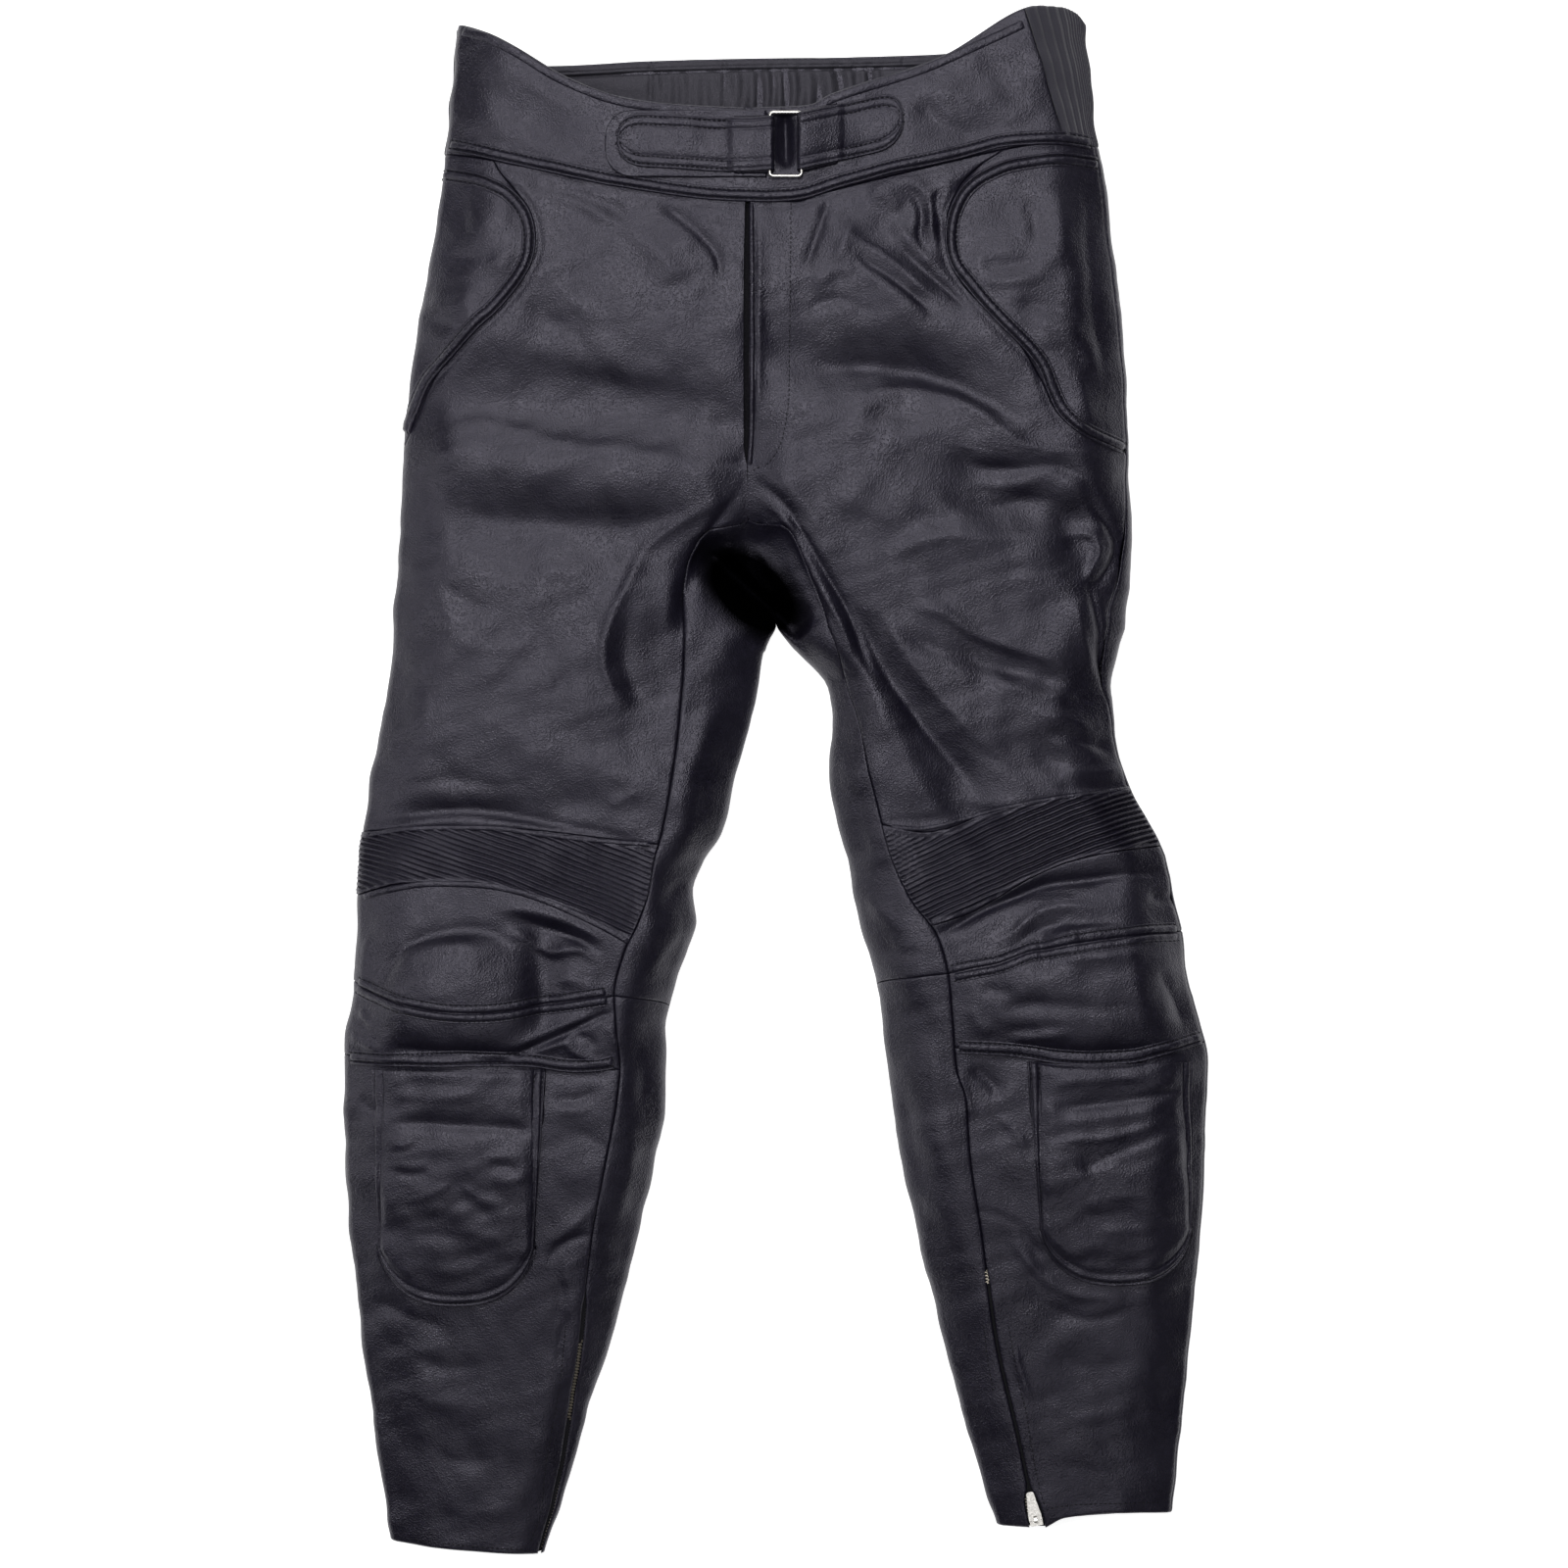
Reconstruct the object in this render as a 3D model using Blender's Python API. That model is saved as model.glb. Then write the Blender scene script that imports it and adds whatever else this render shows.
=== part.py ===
"""Leather motorcycle trousers, laid flat on their back with the front up.

The waist points to +Y, the hems to -Y, and the floor is z = 0. "right" and "left" are
the wearer's, so the right leg lies at -X. Each half is a flattened tube: a table of
sections gives its outline and heights, ring() turns a section into a closed loop, and
every leather panel is a patch of those loops with a wall of even thickness.
"""

import math

import bmesh
import bpy
import numpy as np
from mathutils import Matrix, Vector

MM = 0.001

# Driving dimensions, in millimetres.
LEATHER = 1.3
HIP_PAD = 2.2
SHIN_PAD = 2.6
SEAM_GAP = 0.3
LAY_GAP = 0.9
NO_GAPS = (0.0, 0.0, 0.0, 0.0)
HIP_PAD_GAPS = (0.15, 0.15, 0.4, 0.15)
SEAT_GAPS = (0.15, 0.15, 0.25, 0.45)
BAND_GAPS = (0.15, 0.15, 0.55, 0.55)
WAISTBAND_GAPS = (0.8, 0.0, 0.15, 0.15)
TOP_REACH_OUT = 46.0
TOP_REACH_IN = 34.0
UNDER_REACH = 12.0
PLEAT_DEPTH = 1.5
ZIP_TAPE_REACH = 8.0
ZIP_TAPE = 0.8
STRAP_LEATHER = 1.6
WAISTBAND = 2.4
ELASTIC = 1.8

# Cross-sections from waist to hem. outer and inner are the two edges of the outline
# (inner is the centre line above the crotch), seam is the inside-leg seam on the front,
# tuck is how far the side seam lies inside the outer edge. crown is the height of the
# front, fold that of the outer edge, dip that of the inner edge seen from the front,
# under that of the inner edge on the back, and shut runs from 0, where the halves are
# joined, to 1, where the tube closes round a leg of its own.
COLUMNS = ("y", "outer", "inner", "seam", "tuck", "crown", "fold", "dip", "under", "shut")
SECTIONS = {
    "r": (
        (526, -215, -19, -19, 0, 40, 20, 40, 0, 0),
        (430, -224, -19, -19, 0, 40, 20, 40, 0, 0),
        (395, -228, -19, -19, 0, 40, 19, 40, 0, 0),
        (340, -238, -20, -20, 0, 42, 17, 42, 0, 0),
        (285, -247, -20, -20, 0, 42, 15, 41, 0, 0),
        (225, -253, -20, -20, 0, 42, 14, 37, 0, 0),
        (190, -255, -19, -19, 0, 41, 13, 32, 0, 0),
        (177, -256, -19, -19, 0, 40, 13, 26, 0, 0),
        (172, -256, -19, -38, 0, 40, 13, 21, 0, 0),
        (162, -257, -18, -53, 0, 40, 13, 14, 0, 0),
        (140, -258, -12, -60, 0, 39, 13, 10, 0, 0.1),
        (112, -260, -1, -62, 0, 38, 12, 8, 7, 0.55),
        (108, -260, 0, -62, 0, 38, 12, 8, 8, 0.7),
        (95, -261, -6, -62, 0, 38, 12, 8, 8, 1),
        (46, -268, -16, -65, 0, 38, 12, 8, 8, 1),
        (6, -276, -27, -70, 0, 37, 12, 8, 8, 1),
        (-33, -281, -36, -77, 0, 36, 12, 8, 8, 1),
        (-53, -284, -49, -83, 0, 36, 13, 8, 8, 1),
        (-73, -285, -56, -86, 0, 37, 13, 8, 8, 1),
        (-93, -285, -54, -93, 0, 38, 13, 8, 8, 1),
        (-113, -286, -61, -102, 0, 39, 14, 8, 8, 1),
        (-142, -288, -70, -109, 0, 39, 14, 8, 8, 1),
        (-173, -293, -75, -107, 0, 37, 13, 8, 8, 1),
        (-192, -294, -75, -105, 0, 35, 12, 8, 8, 1),
        (-213, -294, -75, -107, 0, 36, 12, 8, 8, 1),
        (-252, -293, -81, -114, 0, 36, 11, 8, 8, 1),
        (-305, -290, -93, -124, 0, 33, 10, 8, 8, 1),
        (-377, -282, -112, -132, 0, 28, 9, 7, 7, 1),
        (-425, -276, -127, -139, 0, 25, 9, 7, 7, 1),
        (-471, -269, -140, -147, 0, 22, 8, 7, 7, 1),
        (-526, -261, -158, -161, 0, 19, 7, 7, 7, 1),
    ),
    "l": (
        (526, 208, -19, -19, 3, 40, 20, 40, 0, 0),
        (430, 219, -19, -19, 3, 40, 20, 40, 0, 0),
        (395, 225, -19, -19, 4, 40, 19, 40, 0, 0),
        (340, 232, -20, -20, 4, 42, 17, 42, 0, 0),
        (285, 237, -20, -20, 3, 42, 15, 41, 0, 0),
        (225, 240, -20, -20, 2, 42, 14, 37, 0, 0),
        (190, 241, -19, -19, 4, 41, 13, 32, 0, 0),
        (177, 242, -19, -19, 5, 40, 13, 26, 0, 0),
        (172, 242, -19, 8, 5, 40, 13, 21, 0, 0),
        (162, 242, -18, 15, 6, 40, 13, 14, 0, 0),
        (140, 241, -12, 23, 9, 39, 13, 10, 0, 0.1),
        (112, 238, -1, 33, 13, 38, 12, 8, 7, 0.55),
        (108, 238, 0, 34, 13, 38, 12, 8, 8, 0.7),
        (95, 234, 9, 39, 11, 38, 12, 8, 8, 1),
        (66, 228, 34, 47, 6, 38, 12, 8, 8, 1),
        (46, 229, 38, 54, 2, 38, 12, 8, 8, 1),
        (6, 237, 35, 63, 1, 37, 12, 8, 8, 1),
        (-33, 257, 43, 73, 1, 36, 12, 8, 8, 1),
        (-53, 266, 48, 79, 1, 36, 13, 8, 8, 1),
        (-78, 271, 53, 91, 1, 37, 13, 8, 8, 1),
        (-103, 276, 59, 109, 1, 38, 13, 8, 8, 1),
        (-128, 279, 66, 116, 1, 39, 14, 8, 8, 1),
        (-158, 287, 72, 119, 1, 38, 14, 8, 8, 1),
        (-193, 294, 75, 122, 1, 36, 12, 8, 8, 1),
        (-213, 293, 78, 128, 1, 36, 12, 8, 8, 1),
        (-252, 292, 84, 131, 1, 36, 11, 8, 8, 1),
        (-305, 289, 96, 139, 1, 33, 10, 8, 8, 1),
        (-377, 282, 113, 149, 1, 28, 9, 7, 7, 1),
        (-443, 275, 131, 164, 1, 24, 8, 7, 7, 1),
        (-481, 271, 142, 172, 1, 22, 7, 7, 7, 1),
        (-526, 268, 156, 182, 1, 19, 7, 7, 7, 1),
    ),
}

# The seams that cross a leg's front, from waist to hem, as (x, y) points.
CROSS_SEAMS = {
    "r": {
        "waist": ((-224, 426), (-127, 409), (-61, 400), (-19, 395)),
        "band_top": ((-281, -33), (-223, -29), (-176, -31), (-81, -41)),
        "band_bottom": ((-284, -75), (-251, -67), (-213, -66), (-157, -78), (-96, -108)),
        "knee_seam": ((-287, -134), (-258, -147), (-226, -153), (-195, -154), (-157, -151), (-109, -143)),
        "knee_bottom": ((-292, -184), (-232, -189), (-195, -189), (-148, -190), (-105, -193)),
        "hem": ((-262, -515), (-230, -519), (-165, -524)),
    },
    "l": {
        "waist": ((-19, 394), (12, 392), (33, 398), (73, 408), (114, 418), (154, 427), (197, 433), (218, 431)),
        "band_top": ((72, -28), (100, -33), (150, -18), (196, -8), (245, -3)),
        "band_bottom": ((103, -96), (129, -88), (173, -63), (196, -53), (226, -46), (260, -42)),
        "knee_seam": ((116, -128), (171, -111), (196, -107), (249, -101), (277, -100)),
        "knee_bottom": ((121, -178), (169, -181), (215, -186), (249, -183), (292, -175)),
        "hem": ((150, -503), (178, -506), (196, -498), (230, -495), (269, -496)),
    },
}
FRONT_SEAMS = ("waist", "band_top", "band_bottom", "knee_seam", "knee_bottom", "hem")

# Where the rows of each stretch lie, from 0 at its upper seam to 1 at its lower one.
# The eighth row of "waist" is the tip of the hip pad, and those after it crowd the crotch.
ROWS = {
    "r": {
        "waist": (0, 0.1, 0.2, 0.28, 0.34, 0.39, 0.415, 0.431, 0.475, 0.4995, 0.511, 0.534, 0.585, 0.656, 0.77, 0.885, 1),
        "band_bottom": (0, 0.35, 0.7, 1),
        "knee_seam": (0, 0.35, 0.7, 1),
        "knee_bottom": (0, 0.07, 0.16, 0.28, 0.43, 0.6, 0.78, 0.9, 0.955, 1),
    },
    "l": {
        "waist": (0, 0.1, 0.2, 0.29, 0.37, 0.43, 0.456, 0.472, 0.498, 0.514, 0.526, 0.55, 0.602, 0.676, 0.78, 0.89, 1),
        "band_bottom": (0, 0.35, 0.7, 1),
        "knee_seam": (0, 0.35, 0.7, 1),
        "knee_bottom": (0, 0.07, 0.16, 0.28, 0.43, 0.6, 0.78, 0.9, 0.955, 1),
    },
}
PAD_TIP_ROW = 7
PAD_TIP_CUT = 0.25
CROTCH_ROW = 9
FRONT_COLUMNS = 10
BACK_COLUMNS = (0, 0.04, 0.09, 0.18, 0.42, 0.7, 0.87, 0.95, 1)
PAD_COLUMNS = 5
STRIP_COLUMNS = {"inner_thigh": 3, "inner_calf": 4}
BAND_STEPS = 4
BAND_SHIFT = 16

# The curved front edge of each hip pad, as (y, x) points from the waist seam to the tip.
HIP_PAD_EDGE = {
    "r": ((430, -196), (412, -186), (400, -176), (384, -165), (368, -162), (352, -166), (333, -178),
          (311, -198), (291, -219), (266, -235), (240, -247), (226, -253)),
    "l": ((440, 160), (425, 150), (417, 138), (400, 122), (380, 115), (356, 116), (335, 126), (317, 144),
          (295, 164), (270, 179), (250, 189), (238, 203), (230, 221), (224, 239)),
}

# Upper edge of the waistband: x, y from the side to the centre for the front pieces.
WAIST_TOP = {
    "r": ((-222, 515), (-216, 514), (-194, 506), (-170, 493), (-145, 478), (-107, 463), (-62, 457), (-19, 455)),
    "l": ((-19, 455), (22, 457), (36, 464), (59, 472), (94, 483), (114, 491), (178, 524), (193, 524), (203, 521),
          (209, 515)),
}
BACK_TOP = ((-222, 515), (-190, 499), (-154, 490), (-90, 493), (-19, 495), (60, 496), (112, 498), (170, 507),
            (209, 515))
BACK_WAIST = 414.0

# Where the elastic at each side of the waistband starts and ends, as turns: on the right
# it starts at the fold, on the left it shows on the front, more so at the top.
ELASTIC_START = {"r": (1.0, 1.0), "l": (0.795, 0.72)}
ELASTIC_END = 1.37

# Bulges of the front: x, y, half length along x, half length along y, height.
BULGES = (
    (-207, -128, 62, 46, 15),
    (211, -128, 72, 52, 12),
    (-205, -262, 52, 66, 3),
    (212, -250, 52, 66, 3),
    (-200, 340, 34, 60, 3),
    (172, 335, 44, 62, 3),
)

# The largest folds of the front: middle x, y, half length, half width, direction in
# degrees from +X, and height (negative for a trough).
FOLDS = (
    (-134, 192, 100, 22, -4, -4),
    (-150, 240, 105, 24, -3, 3),
    (-86, 84, 46, 22, 80, -4),
    (-196, -8, 75, 11, 2, -3),
    (-190, 345, 60, 20, -40, -2),
    (52, 300, 72, 18, -8, -4),
    (96, 52, 92, 14, -56, -5),
    (66, 72, 80, 12, -60, 3),
    (176, 84, 62, 14, -24, -4),
    (120, 190, 90, 17, -8, -3),
    (190, 26, 44, 13, -16, -4),
    (70, 350, 60, 12, -44, 3),
    (212, 140, 40, 16, 62, -5),
)

# Ankle zips, on the inside-leg seam: y of the upper stop, and half the slot between the
# leather edges at the top, along the chain and at the hem, with the y where it widens.
ZIP_TOP = {"r": -342.0, "l": -324.0}
ZIP_SLOT = 1.5
SLIDER_SLOT = 5.4
SLIDER_SLOT_FROM = {"r": -600.0, "l": -474.0}

# Ankle slider and pull of the left leg, in the slider's own axes.
SLIDER_Y = -499.0
SLIDER = (8.6, 8.4, 2.3)
BRIDGE = (1.7, 2.7, 2.2)
PULL_LENGTH = 20.5
PULL_WIDTHS = (9.0, 4.2)
PULL_THICKNESS = 1.0
PULL_ROD = 0.6
PIVOT_HEIGHT = 3.2

# Shin guards: x of the middle at the top and at the foot, half width, top y, lowest y,
# and the height of the round end.
SHIN_PADS = {
    "r": (-212.0, -214.0, 57.0, -196.0, -354.0, 42.0),
    "l": (228.0, 229.0, 54.0, -191.0, -336.0, 42.0),
}

# Waist strap, tab and ring. The base is a patch under the strap's free end.
STRAP_BASE = (-114.5, -6.5, 432.0, 22.3)
STRAP = (-106.0, 436.0, 19.4)
TAB = (85.5, 434.8, 18.0, 13.9)
RING_CENTRE = (6.5, 433.5)
RING_OUTER = (23.4, 45.0)
RING_RADIUS = 1.1
RING_HEIGHT = 5.6

CUTTERS = []
COLOURS = {
    "leather": ((0.016, 0.016, 0.019, 1), 0.42, 0.0),
    "pleated_leather": ((0.014, 0.014, 0.017, 1), 0.5, 0.0),
    "elastic": ((0.02, 0.02, 0.024, 1), 0.7, 0.0),
    "zip_tape": ((0.01, 0.01, 0.012, 1), 0.85, 0.0),
    "nickel": ((0.72, 0.7, 0.66, 1), 0.25, 1.0),
}


def smooth_curve(points):
    """A function through (x, y) points that doesn't overshoot them, held level past its ends."""
    points = sorted(points)
    x = np.array([p[0] for p in points], float)
    y = np.array([p[1] for p in points], float)
    step, slope = np.diff(x), np.diff(y) / np.diff(x)
    turn = np.zeros(len(x))
    same = slope[1:] * slope[:-1] > 0
    weight = step[1:] + step[:-1]
    mean = np.where(same, 3 * weight / np.where(same, (weight + step[1:]) / np.where(same, slope[:-1], 1)
                    + (weight + step[:-1]) / np.where(same, slope[1:], 1), 1), 0)
    turn[1:-1], turn[0], turn[-1] = mean, slope[0], slope[-1]

    def value(at):
        at = min(max(at, x[0]), x[-1])
        i = min(int(np.searchsorted(x, at, side="right")) - 1, len(step) - 1)
        t = (at - x[i]) / step[i]
        start = (1 + 2 * t) * (1 - t) ** 2 * y[i] + t * (1 - t) ** 2 * step[i] * turn[i]
        return start + t * t * (3 - 2 * t) * y[i + 1] - t * t * (1 - t) * step[i] * turn[i + 1]

    return value


def quarter_round(distance, reach, power=2.0):
    """0 at an edge and 1 from reach on, upright at the edge like a quarter of a circle."""
    t = min(max(distance / reach, 0.0), 1.0)
    return math.sqrt(1 - (1 - t) ** power)


def ease(t):
    """0 below t = 0 and 1 above t = 1, level at both ends."""
    t = min(max(t, 0.0), 1.0)
    return t * t * (3 - 2 * t)


def relief(x, y):
    """Height that the bulges and folds add to the front at (x, y)."""
    total = 0.0
    for cx, cy, rx, ry, height in BULGES:
        total += height * math.exp(-(((x - cx) / rx) ** 2 + ((y - cy) / ry) ** 2) ** 1.5)
    for cx, cy, length, width, degrees, height in FOLDS:
        cos, sin = math.cos(math.radians(degrees)), math.sin(math.radians(degrees))
        along, across = (x - cx) * cos + (y - cy) * sin, (y - cy) * cos - (x - cx) * sin
        total += height * math.exp(-((along / length) ** 4) - (across / width) ** 2)
    return total


class Half:
    """One half of the trousers as a flattened tube of closed sections."""

    def __init__(self, side):
        self.side = side
        self.facing = 1 if side == "l" else -1
        rows = SECTIONS[side]
        self.column = {
            name: smooth_curve([(row[0], row[i]) for row in rows]) for i, name in enumerate(COLUMNS) if i
        }
        self.cross = {name: smooth_curve(points) for name, points in CROSS_SEAMS[side].items()}
        self.pad_edge = smooth_curve(HIP_PAD_EDGE[side])
        self.waist_top = smooth_curve(WAIST_TOP[side])

    def at(self, name, y):
        return self.column[name](y)

    def ring(self, y, turn):
        """Point of the section at y. turn is 0 at the inner edge, 1 at the outer edge by way
        of the front, and 2 at the inner edge again by way of the back."""
        outer, inner = self.at("outer", y), self.at("inner", y)
        share = (1 - math.cos(math.pi * turn)) / 2
        width = abs(outer - inner)
        x = inner + (outer - inner) * share
        from_in, from_out = width * share, width * (1 - share)
        fold = self.at("fold", y)
        if turn > 1:
            under = self.at("under", y) * (1 - quarter_round(from_in, UNDER_REACH))
            return np.array((x, y, fold * (1 - quarter_round(from_out, UNDER_REACH)) + under))
        crown, dip, shut = self.at("crown", y), self.at("dip", y), self.at("shut", y)
        outside = quarter_round(from_out, TOP_REACH_OUT, 2.3)
        valley = max(abs(self.at("seam", y) - inner) * 1.35, 30.0)
        inside = shut * quarter_round(from_in, TOP_REACH_IN, 2.3) + (1 - shut) * ease(from_in / valley)
        height = crown - (crown - fold) * (1 - outside) - (crown - dip) * (1 - inside)
        joined = 1.0 if dip >= crown - 6 else inside
        return np.array((x, y, height + relief(x, y) * outside * joined))

    def turn_at(self, x, y):
        """The turn at which the front of the section at y has this x."""
        outer, inner = self.at("outer", y), self.at("inner", y)
        share = min(max((x - inner) / (outer - inner), 0.0), 1.0)
        return math.acos(1 - 2 * share) / math.pi

    def slot(self, y):
        """Half the width of the slot for the ankle zip."""
        slim = ZIP_SLOT * ease((ZIP_TOP[self.side] - y) / 14)
        return slim + (SLIDER_SLOT - ZIP_SLOT) * ease((SLIDER_SLOT_FROM[self.side] - y) / 16)

    def seam_turn(self, y, side=1):
        """Turn of the inside-leg seam, or of either edge of the zip's slot."""
        return self.turn_at(self.at("seam", y) + side * self.facing * self.slot(y), y)

    def side_turn(self, y):
        return self.turn_at(self.at("outer", y) - self.facing * self.at("tuck", y), y)

    def pad_turn(self, y):
        return min(self.turn_at(self.pad_edge(y), y), self.side_turn(y))

    def normal(self, y, turn, low, high, step=0.004):
        """The outward direction at a point, found without leaving the patch's own turns."""
        a, b = max(turn - step, low), min(turn + step, high)
        across = self.ring(y, b) - self.ring(y, a)
        along = self.ring(y + 1, turn) - self.ring(y - 1, turn)
        out = np.cross(across, along) * self.facing
        return out / np.linalg.norm(out)

    def on_front(self, upper, lower, share, f, edge=None):
        """(y, turn) on the row that lies at share between two cross seams. f runs from the
        inside-leg seam at 0 to the side seam at 1, or to another edge's turn."""
        edge = edge or self.side_turn
        y = self.cross[upper](0) * (1 - share) + self.cross[lower](0) * share
        for _ in range(14):
            start = self.seam_turn(y)
            turn = start + f * (edge(y) - start)
            x = self.ring(y, turn)[0]
            y += 0.7 * (self.cross[upper](x) * (1 - share) + self.cross[lower](x) * share - y)
        return y, turn


def steps(count):
    return [i / count for i in range(count + 1)]


def shrink(points, gaps):
    """Shifts that draw a grid's edges in along the surface: first row, last row, first
    column, last column."""
    moved = np.zeros_like(points)
    edges = ((0, 0, 1), (0, -1, -2), (1, 0, 1), (1, -1, -2))
    for (axis, edge, beside), gap in zip(edges, gaps):
        line, near = [slice(None)] * 2, [slice(None)] * 2
        line[axis], near[axis] = edge, beside
        inward = points[tuple(near)] - points[tuple(line)]
        length = np.linalg.norm(inward, axis=-1, keepdims=True)
        moved[tuple(line)] += np.where(length > 1e-6, inward / np.maximum(length, 1e-6), 0) * gap
    return moved


def material(name):
    found = bpy.data.materials.get(name)
    if found:
        return found
    made = bpy.data.materials.new(name)
    made.use_nodes = True
    shader = made.node_tree.nodes["Principled BSDF"]
    colour, roughness, metallic = COLOURS[name]
    shader.inputs["Base Color"].default_value = colour
    shader.inputs["Roughness"].default_value = roughness
    shader.inputs["Metallic"].default_value = metallic
    made.diffuse_color = colour
    return made


def add_object(name, mesh, finish, collection):
    made = bpy.data.objects.new(name, mesh)
    mesh.materials.append(material(finish))
    collection.objects.link(made)
    return made


def wall(name, outside, normals, thickness, finish, collection, gaps=(SEAM_GAP / 2,) * 4):
    """A panel: a grid of points on its outer face, and the same grid moved in by its
    thickness, joined round the rim. Rows may shrink to a point."""
    outside = np.array(outside, float)
    shift = shrink(outside, gaps)
    inside = outside - np.array(normals, float) * thickness + shift
    outside = outside + shift
    rows, columns = outside.shape[:2]
    count = rows * columns
    faces = []
    for i in range(rows - 1):
        for j in range(columns - 1):
            quad = (i * columns + j, i * columns + j + 1, (i + 1) * columns + j + 1, (i + 1) * columns + j)
            faces += [quad, tuple(v + count for v in reversed(quad))]
    loop = [j for j in range(columns)] + [i * columns + columns - 1 for i in range(1, rows)]
    loop += [(rows - 1) * columns + j for j in range(columns - 2, -1, -1)]
    loop += [i * columns for i in range(rows - 2, 0, -1)]
    for a, b in zip(loop, loop[1:] + loop[:1]):
        faces.append((b, a, a + count, b + count))
    points = np.concatenate([outside.reshape(-1, 3), inside.reshape(-1, 3)]) * MM
    mesh = bpy.data.meshes.new(name)
    mesh.from_pydata(points.tolist(), [], faces)
    close(mesh)
    return add_object(name, mesh, finish, collection)


def close(mesh):
    """Welds a mesh's doubled points and turns its faces outwards."""
    work = bmesh.new()
    work.from_mesh(mesh)
    bmesh.ops.remove_doubles(work, verts=work.verts, dist=1e-6)
    bmesh.ops.dissolve_degenerate(work, edges=work.edges, dist=1e-7)
    bmesh.ops.recalc_face_normals(work, faces=work.faces)
    work.to_mesh(mesh)
    work.free()
    mesh.shade_smooth()
    mesh.set_sharp_from_angle(angle=math.radians(40))


def patch(half, places, low, high):
    """Points and normals of a grid of (y, turn) places."""
    points = [[half.ring(y, turn) for y, turn in row] for row in places]
    normals = [[half.normal(y, turn, low, high) for y, turn in row] for row in places]
    return points, normals


def front_rows(half, upper):
    """Each row between a cross seam and the next, as (upper, lower, share)."""
    lower = FRONT_SEAMS[FRONT_SEAMS.index(upper) + 1]
    return [(upper, lower, share) for share in ROWS[half.side][upper]]


def front_panel(half, name, upper, collection):
    places = [[half.on_front(*row, f) for f in steps(FRONT_COLUMNS)] for row in front_rows(half, upper)]
    return wall(name, *patch(half, places, 0, 1), LEATHER, "leather", collection)


def thigh_and_hip_pad(half, collection):
    """The front of the thigh, and the pad on the hip that shares its curved edge."""
    front, pad = [], []
    for k, row in enumerate(front_rows(half, "waist")):
        if k <= PAD_TIP_ROW:
            front.append([half.on_front(*row, f, half.pad_turn) for f in steps(FRONT_COLUMNS)])
            y, start = front[-1][-1]
            end_y, end = half.on_front(*row, 1.0)
            end = start if k == PAD_TIP_ROW else end
            pad.append([(y + (end_y - y) * f, start + (end - start) * f) for f in steps(PAD_COLUMNS)])
        else:
            front.append([half.on_front(*row, f) for f in steps(FRONT_COLUMNS)])
    wall(f"front_{half.side}", *patch(half, front, 0, 1), LEATHER, "leather", collection)
    points, normals = (np.array(grid) for grid in patch(half, pad, 0, 1))
    points[-1] += (points[-2] - points[-1]) * PAD_TIP_CUT
    normals[-1] += (normals[-2] - normals[-1]) * PAD_TIP_CUT
    wall(f"hip_pad_{half.side}", points, normals, HIP_PAD, "leather", collection, HIP_PAD_GAPS)


def side_rows(half):
    """y of every row at the inside-leg seam and at the side seam, from waist to hem, with
    the row at which the upper back panel ends."""
    rows, split = [], 0
    for upper in FRONT_SEAMS[:-1]:
        lower = FRONT_SEAMS[FRONT_SEAMS.index(upper) + 1]
        if upper == "knee_seam":
            split = len(rows)
        shares = ROWS[half.side].get(upper, (0, 1))[:-1]
        rows += [(half.on_front(upper, lower, s, 0)[0], half.on_front(upper, lower, s, 1)[0]) for s in shares]
    rows.append((half.on_front("knee_bottom", "hem", 1, 0)[0], half.on_front("knee_bottom", "hem", 1, 1)[0]))
    return rows, split


def across_back(outer_y, inner_y, start, turn):
    """y on a straight line across the back, from the side seam to the inner edge."""
    from_out, first = (1 + math.cos(math.pi * turn)) / 2, (1 + math.cos(math.pi * start)) / 2
    return outer_y + (inner_y - outer_y) * (from_out - first) / (1 - first)


def back_panels(half, collection):
    """Seat and calf on the floor, and the strips that wrap from them on to the front."""
    rows, split = side_rows(half)
    spans = {"seat": rows[: split + 1], "calf": rows[split:]}
    for name, span in spans.items():
        places = []
        for k, (inner_y, outer_y) in enumerate(span):
            inner_y = BACK_WAIST if name == "seat" and k == 0 else inner_y
            start = half.side_turn(outer_y)
            turns = [start + (2 - start) * f for f in BACK_COLUMNS]
            places.append([(across_back(outer_y, inner_y, start, turn), turn) for turn in turns])
        gaps = SEAT_GAPS if name == "seat" else (SEAM_GAP / 2,) * 4
        wall(f"{name}_{half.side}", *patch(half, places, 0, 1.99999), LEATHER, "leather", collection, gaps)
    strips = {"inner_thigh": rows[CROTCH_ROW : split + 1], "inner_calf": rows[split:]}
    for name, span in strips.items():
        places = [[(y, half.seam_turn(y, -1) * f) for f in steps(STRIP_COLUMNS[name])] for y, _ in span]
        wall(f"{name}_{half.side}", *patch(half, places, 0, 1), LEATHER, "leather", collection)


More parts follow.
